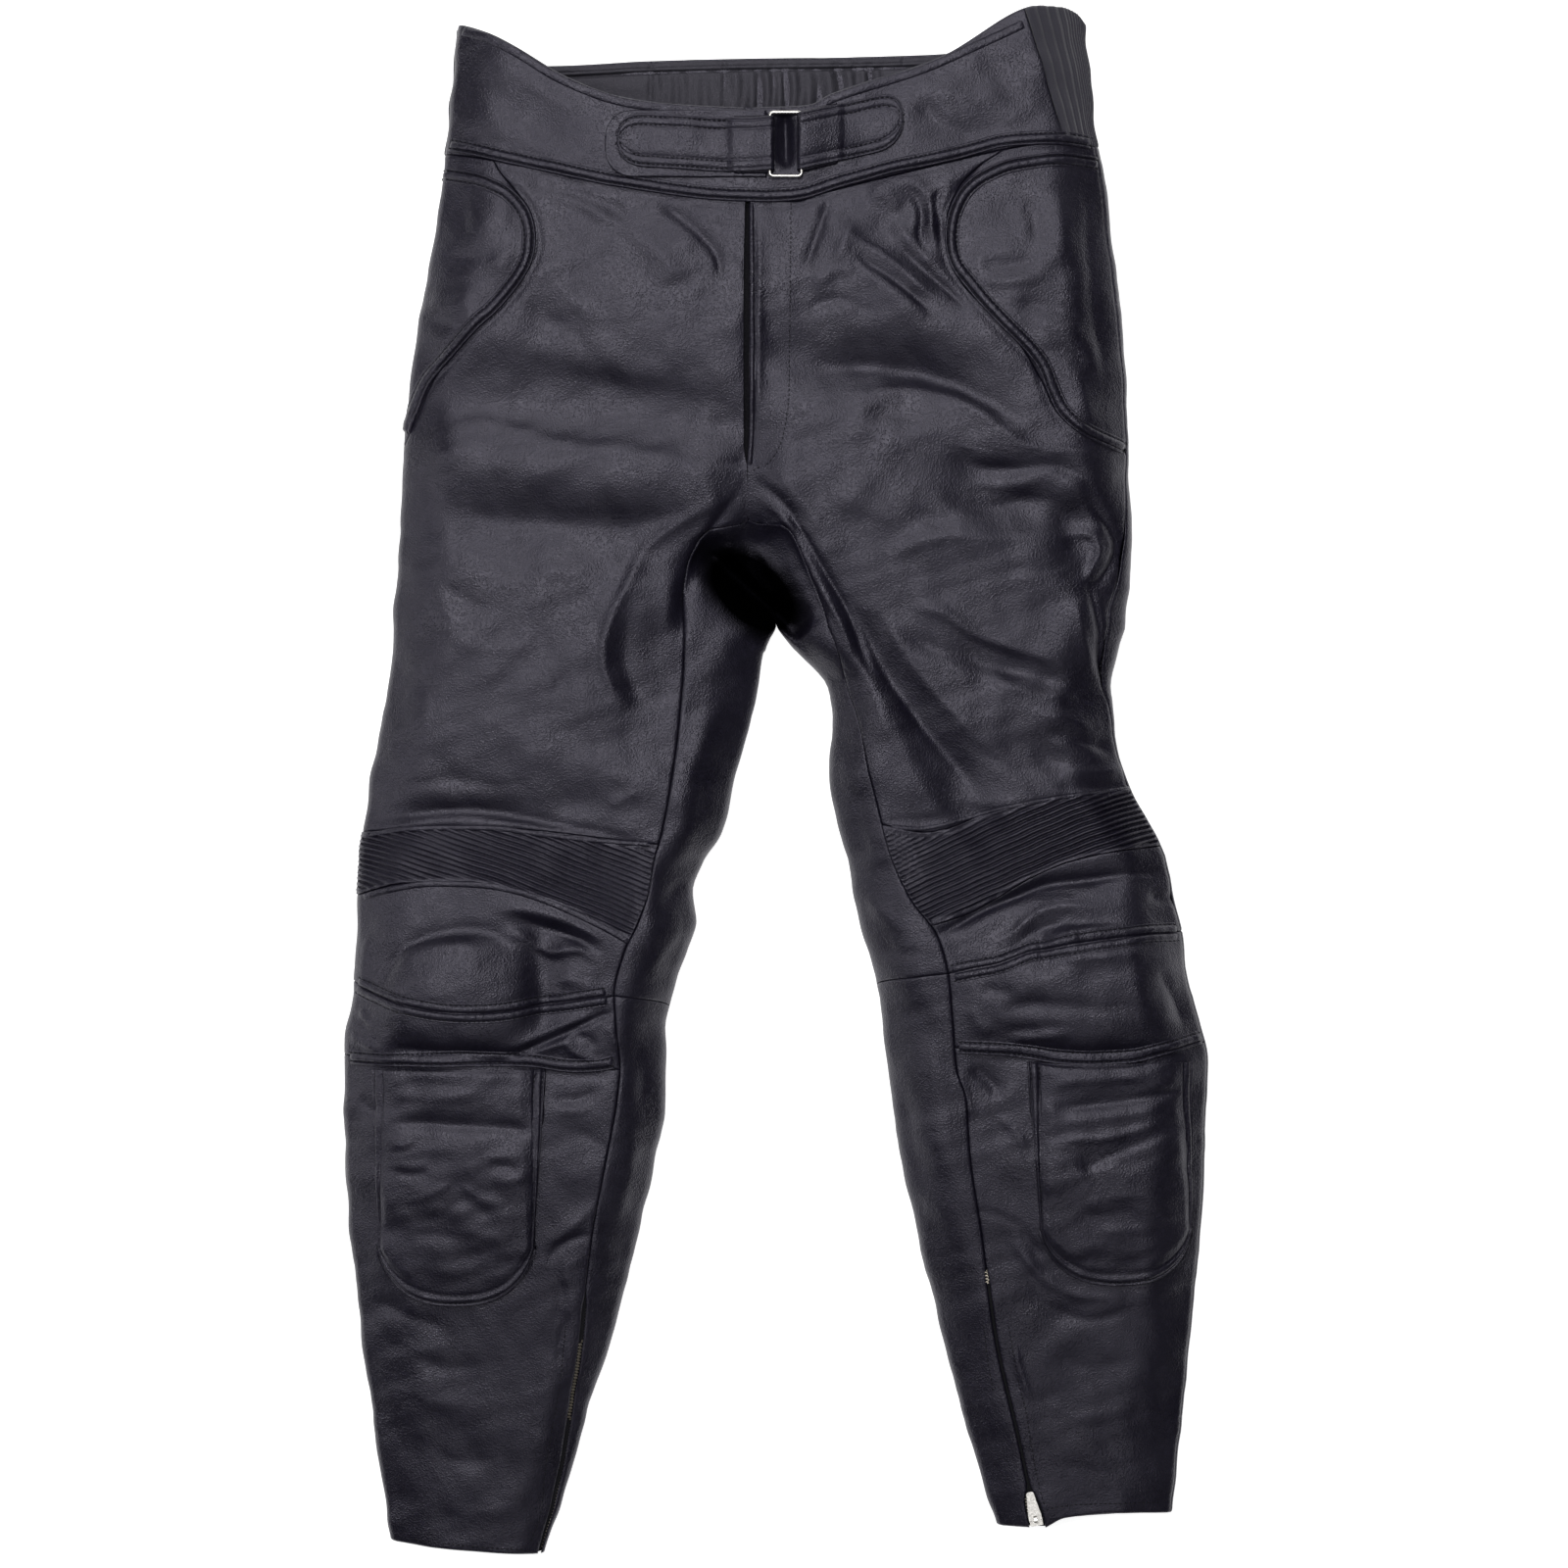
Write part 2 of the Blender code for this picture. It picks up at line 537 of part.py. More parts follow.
def stretch_band(half, collection):
    """The pleated band above the knee. Its pleats run aslant, from the side seam and the
    upper seam down to the lower seam and the inside-leg seam, and alternate in height."""
    fine = []
    for seam in ("band_top", "band_bottom"):
        row = [half.on_front("band_top", "band_bottom", float(seam == "band_bottom"), f) for f in steps(FRONT_COLUMNS)]
        points, normals = patch(half, [row], 0, 1)
        points, normals = np.array(points[0]), np.array(normals[0])
        line = [points[0]]
        aim = [normals[0]]
        for a, b, m, n in zip(points, points[1:], normals, normals[1:]):
            line += [(a + b) / 2, b]
            aim += [(m + n) / 2, n]
        fine.append((np.array(line), np.array(aim)))
    (top, top_aim), (bottom, bottom_aim) = fine
    share = np.linspace(0, 1, BAND_SHIFT + 1)[:, None]

    def rail(edge, far, near):
        """Points or directions up one end of the band."""
        return (far + (near - far) * share)[edge]

    but_last, but_first = slice(0, -1), slice(1, None)
    start = np.concatenate([rail(but_last, bottom[-1], top[-1]), top[::-1]])
    start_aim = np.concatenate([rail(but_last, bottom_aim[-1], top_aim[-1]), top_aim[::-1]])
    end = np.concatenate([bottom[::-1], rail(but_first, bottom[0], top[0])])
    end_aim = np.concatenate([bottom_aim[::-1], rail(but_first, bottom_aim[0], top_aim[0])])
    along, up = 2 * FRONT_COLUMNS, BAND_SHIFT
    points, normals = [], []
    for k in range(along + up + 1):
        begin = np.array((1 - max(k - up, 0) / along, 1 - min(k / up, 1)))
        finish = np.array((1 - min(k / along, 1), 1 - max(k - along, 0) / up))
        line, aim = [], []
        for t in steps(BAND_STEPS):
            out = start_aim[k] + (end_aim[k] - start_aim[k]) * t
            if 0 < t < 1 and 0 < k < along + up:
                f, down = begin + (finish - begin) * t
                y, turn = half.on_front("band_top", "band_bottom", down, f)
                out = half.normal(y, turn, 0, 1)
                line.append(half.ring(y, turn) - out * (PLEAT_DEPTH if k % 2 else 0.2))
            else:
                line.append(start[k] + (end[k] - start[k]) * t)
            aim.append(out / np.linalg.norm(out))
        points.append(line)
        normals.append(aim)
    wall(f"stretch_band_{half.side}", points, normals, LEATHER, "pleated_leather", collection, BAND_GAPS)


def shin_pad(half, collection):
    """The quilted guard on the shin: straight sides, a round lower end."""
    centre, low_centre, half_width, top, bottom, arc = SHIN_PADS[half.side]
    points, normals = [], []
    for t in steps(9):
        line, aim = [], []
        for across in np.linspace(-1, 1, 9):
            foot = bottom + arc * (1 - math.sqrt(1 - (0.995 * across) ** 2))
            y = top + (foot - top) * t
            x = centre + (low_centre - centre) * (top - y) / (top - bottom) + half_width * across
            turn = half.turn_at(x, y)
            out = half.normal(y, turn, 0, 1)
            line.append(half.ring(y, turn) + out * (LAY_GAP + SHIN_PAD))
            aim.append(out)
        points.append(line)
        normals.append(aim)
    wall(f"shin_pad_{half.side}", points, normals, SHIN_PAD, "leather", collection, NO_GAPS)


def front_point(halves, x, y, lift):
    """The point lift above the front at (x, y), and the direction out of it."""
    half = halves["r" if x < halves["r"].at("inner", y) else "l"]
    turn = half.turn_at(x, y)
    out = half.normal(y, turn, 0, 1)
    return half.ring(y, turn) + out * lift, out


def waistband(halves, collection):
    """Front pieces, an elastic piece at each side, and one piece across the back."""
    back_top = smooth_curve(BACK_TOP)
    back_points, back_normals = [[] for _ in range(3)], [[] for _ in range(3)]
    for side, half in halves.items():
        low_side = half.on_front("waist", "band_top", 0, 1)[0]
        low_start = half.side_turn(low_side)

        def band_place(turn, share):
            y = half.cross["waist"](0)
            for _ in range(14):
                x = half.ring(y, turn)[0]
                if turn <= 1:
                    low, top = half.cross["waist"](x), half.waist_top(x)
                else:
                    low = across_back(low_side, BACK_WAIST, low_start, turn)
                    top = back_top(x)
                y += 0.7 * (low * (1 - share) + top * share - y)
            return y, turn

        start_low, start_top = ELASTIC_START[side]
        front, elastic, back = [], [], []
        for share in (0, 0.5, 1):
            start = start_low + (start_top - start_low) * share
            front.append([band_place(start * f, share) for f in steps(10)])
            span = [start + (ELASTIC_END - start) * f for f in steps(8)]
            elastic.append([band_place(turn, share) for turn in span])
            back.append([band_place(ELASTIC_END + (2 - ELASTIC_END) * f, share) for f in steps(5)])
        wall(f"waistband_front_{side}", *patch(half, front, 0, 1), WAISTBAND, "leather", collection,
             WAISTBAND_GAPS)
        wall(f"waistband_elastic_{side}", *patch(half, elastic, 0, 2), ELASTIC, "elastic", collection)
        points, normals = patch(half, back, 0, 1.99999)
        for k in range(3):
            line, aim = list(points[k]), list(normals[k])
            if side == "l":
                line, aim = line[-2::-1], aim[-2::-1]
            back_points[k] += line
            back_normals[k] += aim
    wall("waistband_back", back_points, back_normals, WAISTBAND, "leather", collection)


def fly_facing(halves, collection):
    """The strip of leather under the fly's edge, its foot curved in to the centre."""
    points, normals = [], []
    for y in (391, 350, 305, 262, 238, 226, 217, 213):
        right = 9 if y > 240 else 9 - 26 * (1 - math.sqrt(max(1 - ((240 - y) / 28) ** 2, 0)))
        line = [front_point(halves, x, y, -LEATHER - 0.8) for x in np.linspace(-27, right, 5)]
        points.append([p for p, _ in line])
        normals.append([n for _, n in line])
    wall("fly_facing", points, normals, LEATHER, "leather", collection, NO_GAPS)


def rounded(distance, reach, half_width):
    """Half width of a tongue at some distance from its rounded end."""
    t = min(max(distance / reach, 0.004), 1.0)
    return half_width * (1 - (1 - t) ** 2.6) ** (1 / 2.6)


def strap_base(halves, collection):
    left, right, middle, half_width = STRAP_BASE
    points, normals = [], []
    for x in (left, left + 1.5, left + 4, left + 8, left + 14, left + 22, -70, -50, -30, right):
        width = rounded(x - left, 22.0, half_width)
        line = [front_point(halves, x, middle + width * v, LAY_GAP + STRAP_LEATHER) for v in (-1, -0.5, 0, 0.5, 1)]
        points.append([p for p, _ in line])
        normals.append([n for _, n in line])
    wall("waist_strap_base", points, normals, STRAP_LEATHER, "leather", collection, NO_GAPS)


def folded_strap(name, halves, bar, way, path, middle, width, collection):
    """A strap turned round one bar of the ring. path lists (distance from the bar, height
    over the waistband) of the upper leg; way is the side of the bar on which it lies."""
    turn_radius = RING_RADIUS + 0.3 + STRAP_LEATHER / 2
    low = RING_HEIGHT - turn_radius
    line = [(bar + way * d, h) for d, h in ((24, min(low, path[0][1] - 1.95)), (12, low), (0, low))]
    for degrees in range(-60, 90, 30):
        a = math.radians(degrees)
        line.append((bar - way * turn_radius * math.cos(a), RING_HEIGHT + turn_radius * math.sin(a)))
    line += [(bar, RING_HEIGHT + turn_radius)] + [(bar + way * d, h) for d, h in path[1:]]
    line = np.array(line)
    ahead = np.gradient(line, axis=0)
    ahead /= np.linalg.norm(ahead, axis=1, keepdims=True)
    points, normals = [], []
    for (x, height), (dx, dz) in zip(line, ahead):
        aim = np.array((way * -dz, 0.0, way * dx))
        row = []
        for v in (-1, -0.5, 0, 0.5, 1):
            y = middle(x) + width(x) * v
            row.append(front_point(halves, x, y, 0)[0] + (0, 0, height) + aim * STRAP_LEATHER / 2)
        points.append(row)
        normals.append([aim] * 5)
    wall(name, points, normals, STRAP_LEATHER, "leather", collection, NO_GAPS)


def strap_and_tab(halves, collection):
    left_bar = RING_CENTRE[0] - RING_OUTER[0] / 2 + RING_RADIUS
    right_bar = RING_CENTRE[0] + RING_OUTER[0] / 2 - RING_RADIUS
    tip, middle, half_width = STRAP
    run = left_bar - tip
    rest = LAY_GAP + STRAP_LEATHER + 0.4 + STRAP_LEATHER / 2
    path = [(0, rest + 1.95), (12, rest + 2.1), (24, rest + 1.95), (31, rest), (52, rest), (run - 24, rest),
            (run - 14, rest), (run - 8, rest), (run - 4, rest), (run - 1.5, rest), (run, rest)]
    folded_strap("waist_strap", halves, left_bar, -1, path,
                 lambda x: RING_CENTRE[1] + 0.4 + (middle - RING_CENTRE[1] - 0.4) * ease((left_bar - x) / 20),
                 lambda x: min(rounded(x - tip, 22.0, half_width), 19.3), collection)
    tip, middle, half_width, degrees = TAB
    run = tip - right_bar
    rest = LAY_GAP + STRAP_LEATHER / 2
    path = [(0, rest + 1.95), (12, rest + 4.0), (24, rest + 2.1), (31, rest), (run - 20, rest), (run - 13, rest),
            (run - 8, rest), (run - 4, rest), (run - 1.5, rest), (run, rest)]
    slope = math.tan(math.radians(degrees))
    folded_strap("waist_tab", halves, right_bar, 1, path, lambda x: middle + max(x - right_bar, 0) * slope,
                 lambda x: rounded(tip - x, 19.0, half_width), collection)


def ring_of_wire(halves, collection):
    """The rectangular ring: a closed curve with round corners and a round section."""
    level = front_point(halves, *RING_CENTRE, 0)[0][2] + RING_HEIGHT
    wide, tall = RING_OUTER[0] / 2 - RING_RADIUS, RING_OUTER[1] / 2 - RING_RADIUS
    corner = 1.8
    corners = []
    for k, (sx, sy) in enumerate(((1, 1), (-1, 1), (-1, -1), (1, -1))):
        for degrees in (0, 30, 60, 90):
            a = math.radians(degrees + 90 * k)
            x = RING_CENTRE[0] + sx * (wide - corner) + corner * math.cos(a)
            y = RING_CENTRE[1] + sy * (tall - corner) + corner * math.sin(a)
            corners.append((x, y, level))
    curve = bpy.data.curves.new("waist_ring", "CURVE")
    curve.dimensions = "3D"
    spline = curve.splines.new("POLY")
    spline.points.add(len(corners) - 1)
    for point, place in zip(spline.points, corners):
        point.co = (*(c * MM for c in place), 1)
    spline.use_cyclic_u = True
    curve.bevel_depth = RING_RADIUS * MM
    curve.bevel_resolution = 2
    add_object("waist_ring", curve, "nickel", collection)


def ankle_zip(half, collection):
    """The tape of the ankle zip, behind the slot in the inside-leg seam."""
    side = half.side
    foot = half.on_front("knee_bottom", "hem", 1, 0)[0] + 0.8
    top = ZIP_TOP[side] + 6
    points, normals = [], []
    for t in steps(12):
        y = top + (foot - top) * t
        seam, inner = half.at("seam", y), half.at("inner", y)
        near = min(ZIP_TAPE_REACH, abs(seam - inner) - 0.2)
        line, aim = [], []
        for across in (-near, -near / 2, 0, ZIP_TAPE_REACH / 2, ZIP_TAPE_REACH):
            turn = half.turn_at(seam + half.facing * across, y)
            out = half.normal(y, max(turn, 0.02), 0, 1)
            line.append(half.ring(y, turn) - out * (LEATHER + 1.2))
            aim.append(out)
        points.append(line)
        normals.append(aim)
    wall(f"ankle_zip_{side}", points, normals, ZIP_TAPE, "zip_tape", collection, NO_GAPS)


def slider_frame(half):
    """Axes of the ankle slider: x across the zip, y along it to the waist, z out of the leg."""
    def on_seam(y):
        return half.ring(y, half.turn_at(half.at("seam", y), y))

    along = on_seam(SLIDER_Y + 12) - on_seam(SLIDER_Y - 4)
    along /= np.linalg.norm(along)
    out = half.normal(SLIDER_Y, half.turn_at(half.at("seam", SLIDER_Y), SLIDER_Y), 0, 1)
    across = np.cross(along, out)
    across /= np.linalg.norm(across)
    out = np.cross(across, along)
    origin = on_seam(SLIDER_Y) - out * (LEATHER + 0.25)
    frame = Matrix.Identity(4)
    for i, axis in enumerate((across, along, out)):
        frame.col[i][:3] = axis
    frame.translation = Vector(origin * MM)
    return frame


def extruded(outline, low, high):
    """A prism over a closed outline of (x, y) points, from z = low to z = high."""
    count = len(outline)
    points = [(x, y, z) for z in (low, high) for x, y in outline]
    faces = [tuple(reversed(range(count))), tuple(range(count, 2 * count))]
    faces += [(i, (i + 1) % count, count + (i + 1) % count, count + i) for i in range(count)]
    return points, faces


def solid(name, pieces, finish, collection, frame):
    """Joins prisms and rods with a union, and places them in a frame."""
    made = []
    for i, (points, faces) in enumerate(pieces):
        mesh = bpy.data.meshes.new(f"{name}_{i}" if i else name)
        mesh.from_pydata([tuple(c * MM for c in p) for p in points], [], faces)
        close(mesh)
        made.append(add_object(mesh.name, mesh, finish, collection if not i else CUTTERS[0]))
        made[-1].matrix_world = frame
    for extra in made[1:]:
        extra.hide_render = True
        extra.display_type = "WIRE"
        union = made[0].modifiers.new("join", "BOOLEAN")
        union.operation, union.object, union.solver = "UNION", extra, "EXACT"
    return made[0]


def rod(length, radius, z, sides=12):
    """A rod along x, centred at height z."""
    angles = [2 * math.pi * i / sides for i in range(sides)]
    outline = [(radius * math.cos(a), z + radius * math.sin(a)) for a in angles]
    points, faces = extruded(outline, -length / 2, length / 2)
    return [(p[2], p[0], p[1]) for p in points], faces


def arch(inner, outer, width, z):
    """The slider's bridge: half a ring over the pull's rod, standing on the body."""
    outline = []
    for radius, order in ((outer, range(0, 181, 20)), (inner, range(180, -1, -20))):
        outline += [(radius * math.cos(math.radians(a)), z + radius * math.sin(math.radians(a))) for a in order]
    points, faces = extruded(outline, -width / 2, width / 2)
    return [(p[2], p[0], p[1]) for p in points], faces


def ankle_slider(half, collection):
    frame = slider_frame(half)
    wide, long, tall = SLIDER
    nose = [(wide / 2, -long / 2), (wide / 2, long * 0.2), (wide * 0.3, long / 2), (-wide * 0.3, long / 2),
            (-wide / 2, long * 0.2), (-wide / 2, -long / 2)]
    body = extruded(nose, 0, tall)
    solid(f"ankle_slider_{half.side}", [body, arch(*BRIDGE, tall - 0.05)], "nickel", collection, frame)
    pivot = frame @ Matrix.Translation((0, 0, PIVOT_HEIGHT * MM))
    root, tip = PULL_WIDTHS
    inside = BRIDGE[2] / 2 + 0.4
    window = 3.6
    arms = []
    for way in (1, -1):
        edge = [(inside, -0.3), (root / 2, -0.3), (root / 2 - 0.1, window + 0.3), (inside - 0.4, window + 0.3)]
        arms.append(extruded([(way * x, y) for x, y in edge], -PULL_THICKNESS / 2, PULL_THICKNESS / 2))
    end = PULL_LENGTH - 0.6
    plate = [(root / 2 - 0.1, window), (tip / 2 + 0.3, end - 1), (tip / 2 - 0.5, end), (-tip / 2 + 0.5, end),
             (-tip / 2 - 0.3, end - 1), (-root / 2 + 0.1, window)]
    pieces = [extruded(plate, -PULL_THICKNESS / 2, PULL_THICKNESS / 2), *arms, rod(root, PULL_ROD, 0)]
    solid(f"ankle_pull_{half.side}", pieces, "nickel", collection, pivot)


def main():
    for old in list(bpy.data.objects):
        bpy.data.objects.remove(old)
    trousers = bpy.data.collections.new("motorcycle_trousers")
    bpy.context.scene.collection.children.link(trousers)
    helpers = bpy.data.collections.new("helpers")
    bpy.context.scene.collection.children.link(helpers)
    CUTTERS.append(helpers)
    halves = {side: Half(side) for side in ("r", "l")}
    waistband(halves, trousers)
    fly_facing(halves, trousers)
    strap_base(halves, trousers)
    strap_and_tab(halves, trousers)
    ring_of_wire(halves, trousers)
    ankle_slider(halves["l"], trousers)
    for half in halves.values():
        thigh_and_hip_pad(half, trousers)
        stretch_band(half, trousers)
        front_panel(half, f"knee_upper_{half.side}", "band_bottom", trousers)
        front_panel(half, f"knee_lower_{half.side}", "knee_seam", trousers)
        front_panel(half, f"shin_{half.side}", "knee_bottom", trousers)
        back_panels(half, trousers)
        shin_pad(half, trousers)
        ankle_zip(half, trousers)


main()
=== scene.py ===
"""Leather motorcycle trousers lying flat on their back: the dressed model.

Every panel is the surface of one flattened tube for each half of the garment. A table of
cross-sections gives the tube, and a place on it is (y, turn): turn 0 is the inner edge,
1 the outer edge by way of the front and 2 the inner edge again by way of the back.
Folds, seams and pads are heights added along the surface's own normal.
"""

import math

import bmesh
import bpy
import numpy as np
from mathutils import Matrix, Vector


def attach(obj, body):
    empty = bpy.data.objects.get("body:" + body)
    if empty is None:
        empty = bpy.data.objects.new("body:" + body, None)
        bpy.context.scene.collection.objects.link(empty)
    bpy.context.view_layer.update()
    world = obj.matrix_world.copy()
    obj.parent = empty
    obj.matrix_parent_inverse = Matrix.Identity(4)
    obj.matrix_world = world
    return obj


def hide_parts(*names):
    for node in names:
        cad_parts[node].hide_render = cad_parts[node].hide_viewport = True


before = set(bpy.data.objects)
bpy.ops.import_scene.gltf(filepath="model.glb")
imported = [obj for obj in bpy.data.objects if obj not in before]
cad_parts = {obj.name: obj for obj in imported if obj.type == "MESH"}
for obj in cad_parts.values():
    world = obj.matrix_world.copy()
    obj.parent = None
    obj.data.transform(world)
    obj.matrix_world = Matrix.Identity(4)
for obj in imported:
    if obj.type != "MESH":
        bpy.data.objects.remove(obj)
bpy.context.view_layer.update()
MM = 0.001
BODY = "trousers"

# Millimetres, as everywhere below: the leather's thickness, how deep a panel's edge rolls in at
# a seam, the mesh steps of the front and of the back, and the stitches.
LEATHER = 1.2
SEAM_ROLL = 0.9
GRID = 2.25
BACK_GRID = 4.8
STITCH_PITCH, STITCH_LENGTH, STITCH_RADIUS = 3.3, 2.4, 0.36
STITCH_SIDES = 6

# How far the front's rounding reaches in from the outer and from the inner edge, the tight turn
# at the edge itself, and the reach of the rounding underneath.
TOP_REACH_OUT = 42.0
TOP_REACH_IN = 36.0
EDGE_TURN = 4.5
UNDER_REACH = 12.0

# Cross-sections from waist to hem, in millimetres: y, outer and inner edge, inside-leg
# seam, tuck of the side seam, height of the front, of the outer edge, of the inner edge
# from the front and from the back, and how far the tube is closed at its inner edge.
COLUMNS = ("y", "outer", "inner", "seam", "tuck", "crown", "fold", "dip", "under", "shut")
SECTIONS = {
    "r": (
        (526, -215, -19, -19, 0, 40, 20, 40, 0, 0),
        (430, -224, -19, -19, 0, 40, 20, 40, 0, 0),
        (395, -228, -19, -19, 0, 40, 19, 40, 0, 0),
        (340, -238, -20, -20, 0, 42, 17, 42, 0, 0),
        (285, -247, -20, -20, 0, 42, 15, 41, 0, 0),
        (225, -253, -20, -20, 0, 42, 14, 37, 0, 0),
        (190, -255, -19, -19, 0, 41, 13, 32, 0, 0),
        (177, -256, -19, -19, 0, 40, 13, 26, 0, 0),
        (172, -256, -19, -38, 0, 40, 13, 21, 0, 0),
        (162, -257, -18, -53, 0, 40, 13, 14, 0, 0),
        (140, -258, -12, -60, 0, 39, 13, 10, 0, 0.1),
        (112, -260, -1, -62, 0, 38, 12, 8, 7, 0.55),
        (108, -260, 0, -62, 0, 38, 12, 8, 8, 0.7),
        (95, -261, -6, -62, 0, 38, 12, 8, 8, 1),
        (46, -268, -16, -65, 0, 38, 12, 8, 8, 1),
        (6, -276, -27, -70, 0, 37, 12, 8, 8, 1),
        (-33, -281, -36, -77, 0, 36, 12, 8, 8, 1),
        (-53, -284, -49, -83, 0, 36, 13, 8, 8, 1),
        (-73, -285, -56, -86, 0, 37, 13, 8, 8, 1),
        (-93, -285, -54, -93, 0, 38, 13, 8, 8, 1),
        (-113, -286, -61, -102, 0, 39, 14, 8, 8, 1),
        (-142, -288, -70, -109, 0, 39, 14, 8, 8, 1),
        (-173, -293, -75, -107, 0, 37, 13, 8, 8, 1),
        (-192, -294, -75, -105, 0, 35, 12, 8, 8, 1),
        (-213, -294, -75, -107, 0, 36, 12, 8, 8, 1),
        (-252, -293, -81, -114, 0, 36, 11, 8, 8, 1),
        (-305, -290, -93, -124, 0, 33, 10, 8, 8, 1),
        (-377, -282, -112, -132, 0, 28, 9, 7, 7, 1),
        (-425, -276, -127, -139, 0, 25, 9, 7, 7, 1),
        (-471, -269, -140, -147, 0, 22, 8, 7, 7, 1),
        (-526, -261, -158, -161, 0, 19, 7, 7, 7, 1),
    ),
    "l": (
        (526, 208, -19, -19, 3, 40, 20, 40, 0, 0),
        (430, 219, -19, -19, 3, 40, 20, 40, 0, 0),
        (395, 225, -19, -19, 4, 40, 19, 40, 0, 0),
        (340, 232, -20, -20, 4, 42, 17, 42, 0, 0),
        (285, 237, -20, -20, 3, 42, 15, 41, 0, 0),
        (225, 240, -20, -20, 2, 42, 14, 37, 0, 0),
        (190, 241, -19, -19, 4, 41, 13, 32, 0, 0),
        (177, 242, -19, -19, 5, 40, 13, 26, 0, 0),
        (172, 242, -19, 8, 5, 40, 13, 21, 0, 0),
        (162, 242, -18, 15, 6, 40, 13, 14, 0, 0),
        (140, 241, -12, 23, 9, 39, 13, 10, 0, 0.1),
        (112, 238, -1, 33, 13, 38, 12, 8, 7, 0.55),
        (108, 238, 0, 34, 13, 38, 12, 8, 8, 0.7),
        (95, 234, 9, 39, 11, 38, 12, 8, 8, 1),
        (66, 228, 34, 47, 6, 38, 12, 8, 8, 1),
        (46, 229, 38, 54, 2, 38, 12, 8, 8, 1),
        (6, 237, 35, 63, 1, 37, 12, 8, 8, 1),
        (-33, 257, 43, 73, 1, 36, 12, 8, 8, 1),
        (-53, 266, 48, 79, 1, 36, 13, 8, 8, 1),
        (-78, 271, 53, 91, 1, 37, 13, 8, 8, 1),
        (-103, 276, 59, 109, 1, 38, 13, 8, 8, 1),
        (-128, 279, 66, 116, 1, 39, 14, 8, 8, 1),
        (-158, 287, 72, 119, 1, 38, 14, 8, 8, 1),
        (-193, 294, 75, 122, 1, 36, 12, 8, 8, 1),
        (-213, 293, 78, 128, 1, 36, 12, 8, 8, 1),
        (-252, 292, 84, 131, 1, 36, 11, 8, 8, 1),
        (-305, 289, 96, 139, 1, 33, 10, 8, 8, 1),
        (-377, 282, 113, 149, 1, 28, 9, 7, 7, 1),
        (-443, 275, 131, 164, 1, 24, 8, 7, 7, 1),
        (-481, 271, 142, 172, 1, 22, 7, 7, 7, 1),
        (-526, 268, 156, 182, 1, 19, 7, 7, 7, 1),
    ),
}

# The seams that cross a leg's front, as (x, y) points.
CROSS_SEAMS = {
    "r": {
        "waist": ((-224, 426), (-127, 409), (-61, 400), (-19, 395)),
        "band_top": ((-281, -33), (-223, -29), (-176, -31), (-81, -41)),
        "band_bottom": ((-284, -75), (-251, -67), (-213, -66), (-157, -78), (-96, -108)),
        "knee_seam": ((-287, -134), (-258, -147), (-226, -153), (-195, -154), (-157, -151), (-109, -143)),
        "knee_bottom": ((-292, -184), (-232, -189), (-195, -189), (-148, -190), (-105, -193)),
        "hem": ((-262, -515), (-230, -519), (-165, -524)),
    },
    "l": {
        "waist": ((-19, 394), (12, 392), (33, 398), (73, 408), (114, 418), (154, 427), (197, 433),
                  (218, 431)),
        "band_top": ((72, -28), (100, -33), (150, -18), (196, -8), (245, -3)),
        "band_bottom": ((103, -96), (129, -88), (173, -63), (196, -53), (226, -46), (260, -42)),
        "knee_seam": ((116, -128), (171, -111), (196, -107), (249, -101), (277, -100)),
        "knee_bottom": ((121, -178), (169, -181), (215, -186), (249, -183), (292, -175)),
        "hem": ((150, -503), (178, -506), (196, -498), (230, -495), (269, -496)),
    },
}

HIP_PAD_EDGE = {
    "r": ((430, -196), (412, -186), (400, -176), (384, -165), (368, -162), (352, -166), (333, -178),
          (311, -198), (291, -219), (266, -235), (240, -247), (226, -253)),
    "l": ((440, 160), (425, 150), (417, 138), (400, 122), (380, 115), (356, 116), (335, 126), (317, 144),
          (295, 164), (270, 179), (250, 189), (238, 203), (230, 221), (224, 239)),
}

WAIST_TOP = {
    "r": ((-222, 515), (-216, 514), (-194, 506), (-170, 493), (-145, 478), (-107, 463), (-62, 457),
          (-19, 455)),
    "l": ((-19, 455), (22, 457), (36, 464), (59, 472), (94, 483), (114, 491), (178, 524), (193, 524),
          (203, 521), (209, 515)),
}
BACK_TOP = ((-222, 515), (-190, 499), (-154, 490), (-90, 493), (-19, 495), (60, 496), (112, 498),
            (170, 507), (209, 515))
BACK_WAIST = 414.0
ELASTIC_START = {"r": (1.0, 1.0), "l": (0.795, 0.72)}
ELASTIC_END = 1.37

# Bulges of the front: x, y, half length along x, half length along y, height.
BULGES = (
    (-220, -150, 50, 44, 11),
    (214, -140, 70, 46, 11),
    (-205, -262, 52, 66, 3),
    (212, -250, 52, 66, 3),
    (-200, 340, 34, 60, 3),
    (172, 335, 44, 62, 3),
)

# The hollow below the crotch: middle x and y, half length and width, direction in degrees,
# and the height of the fold at its bottom.
PIT = (-16.0, 130.0, 42.0, 25.0, -42.0, 3.5)
# How much higher its floor is at its sides and at its ends.
PIT_RISE = (26, 6)

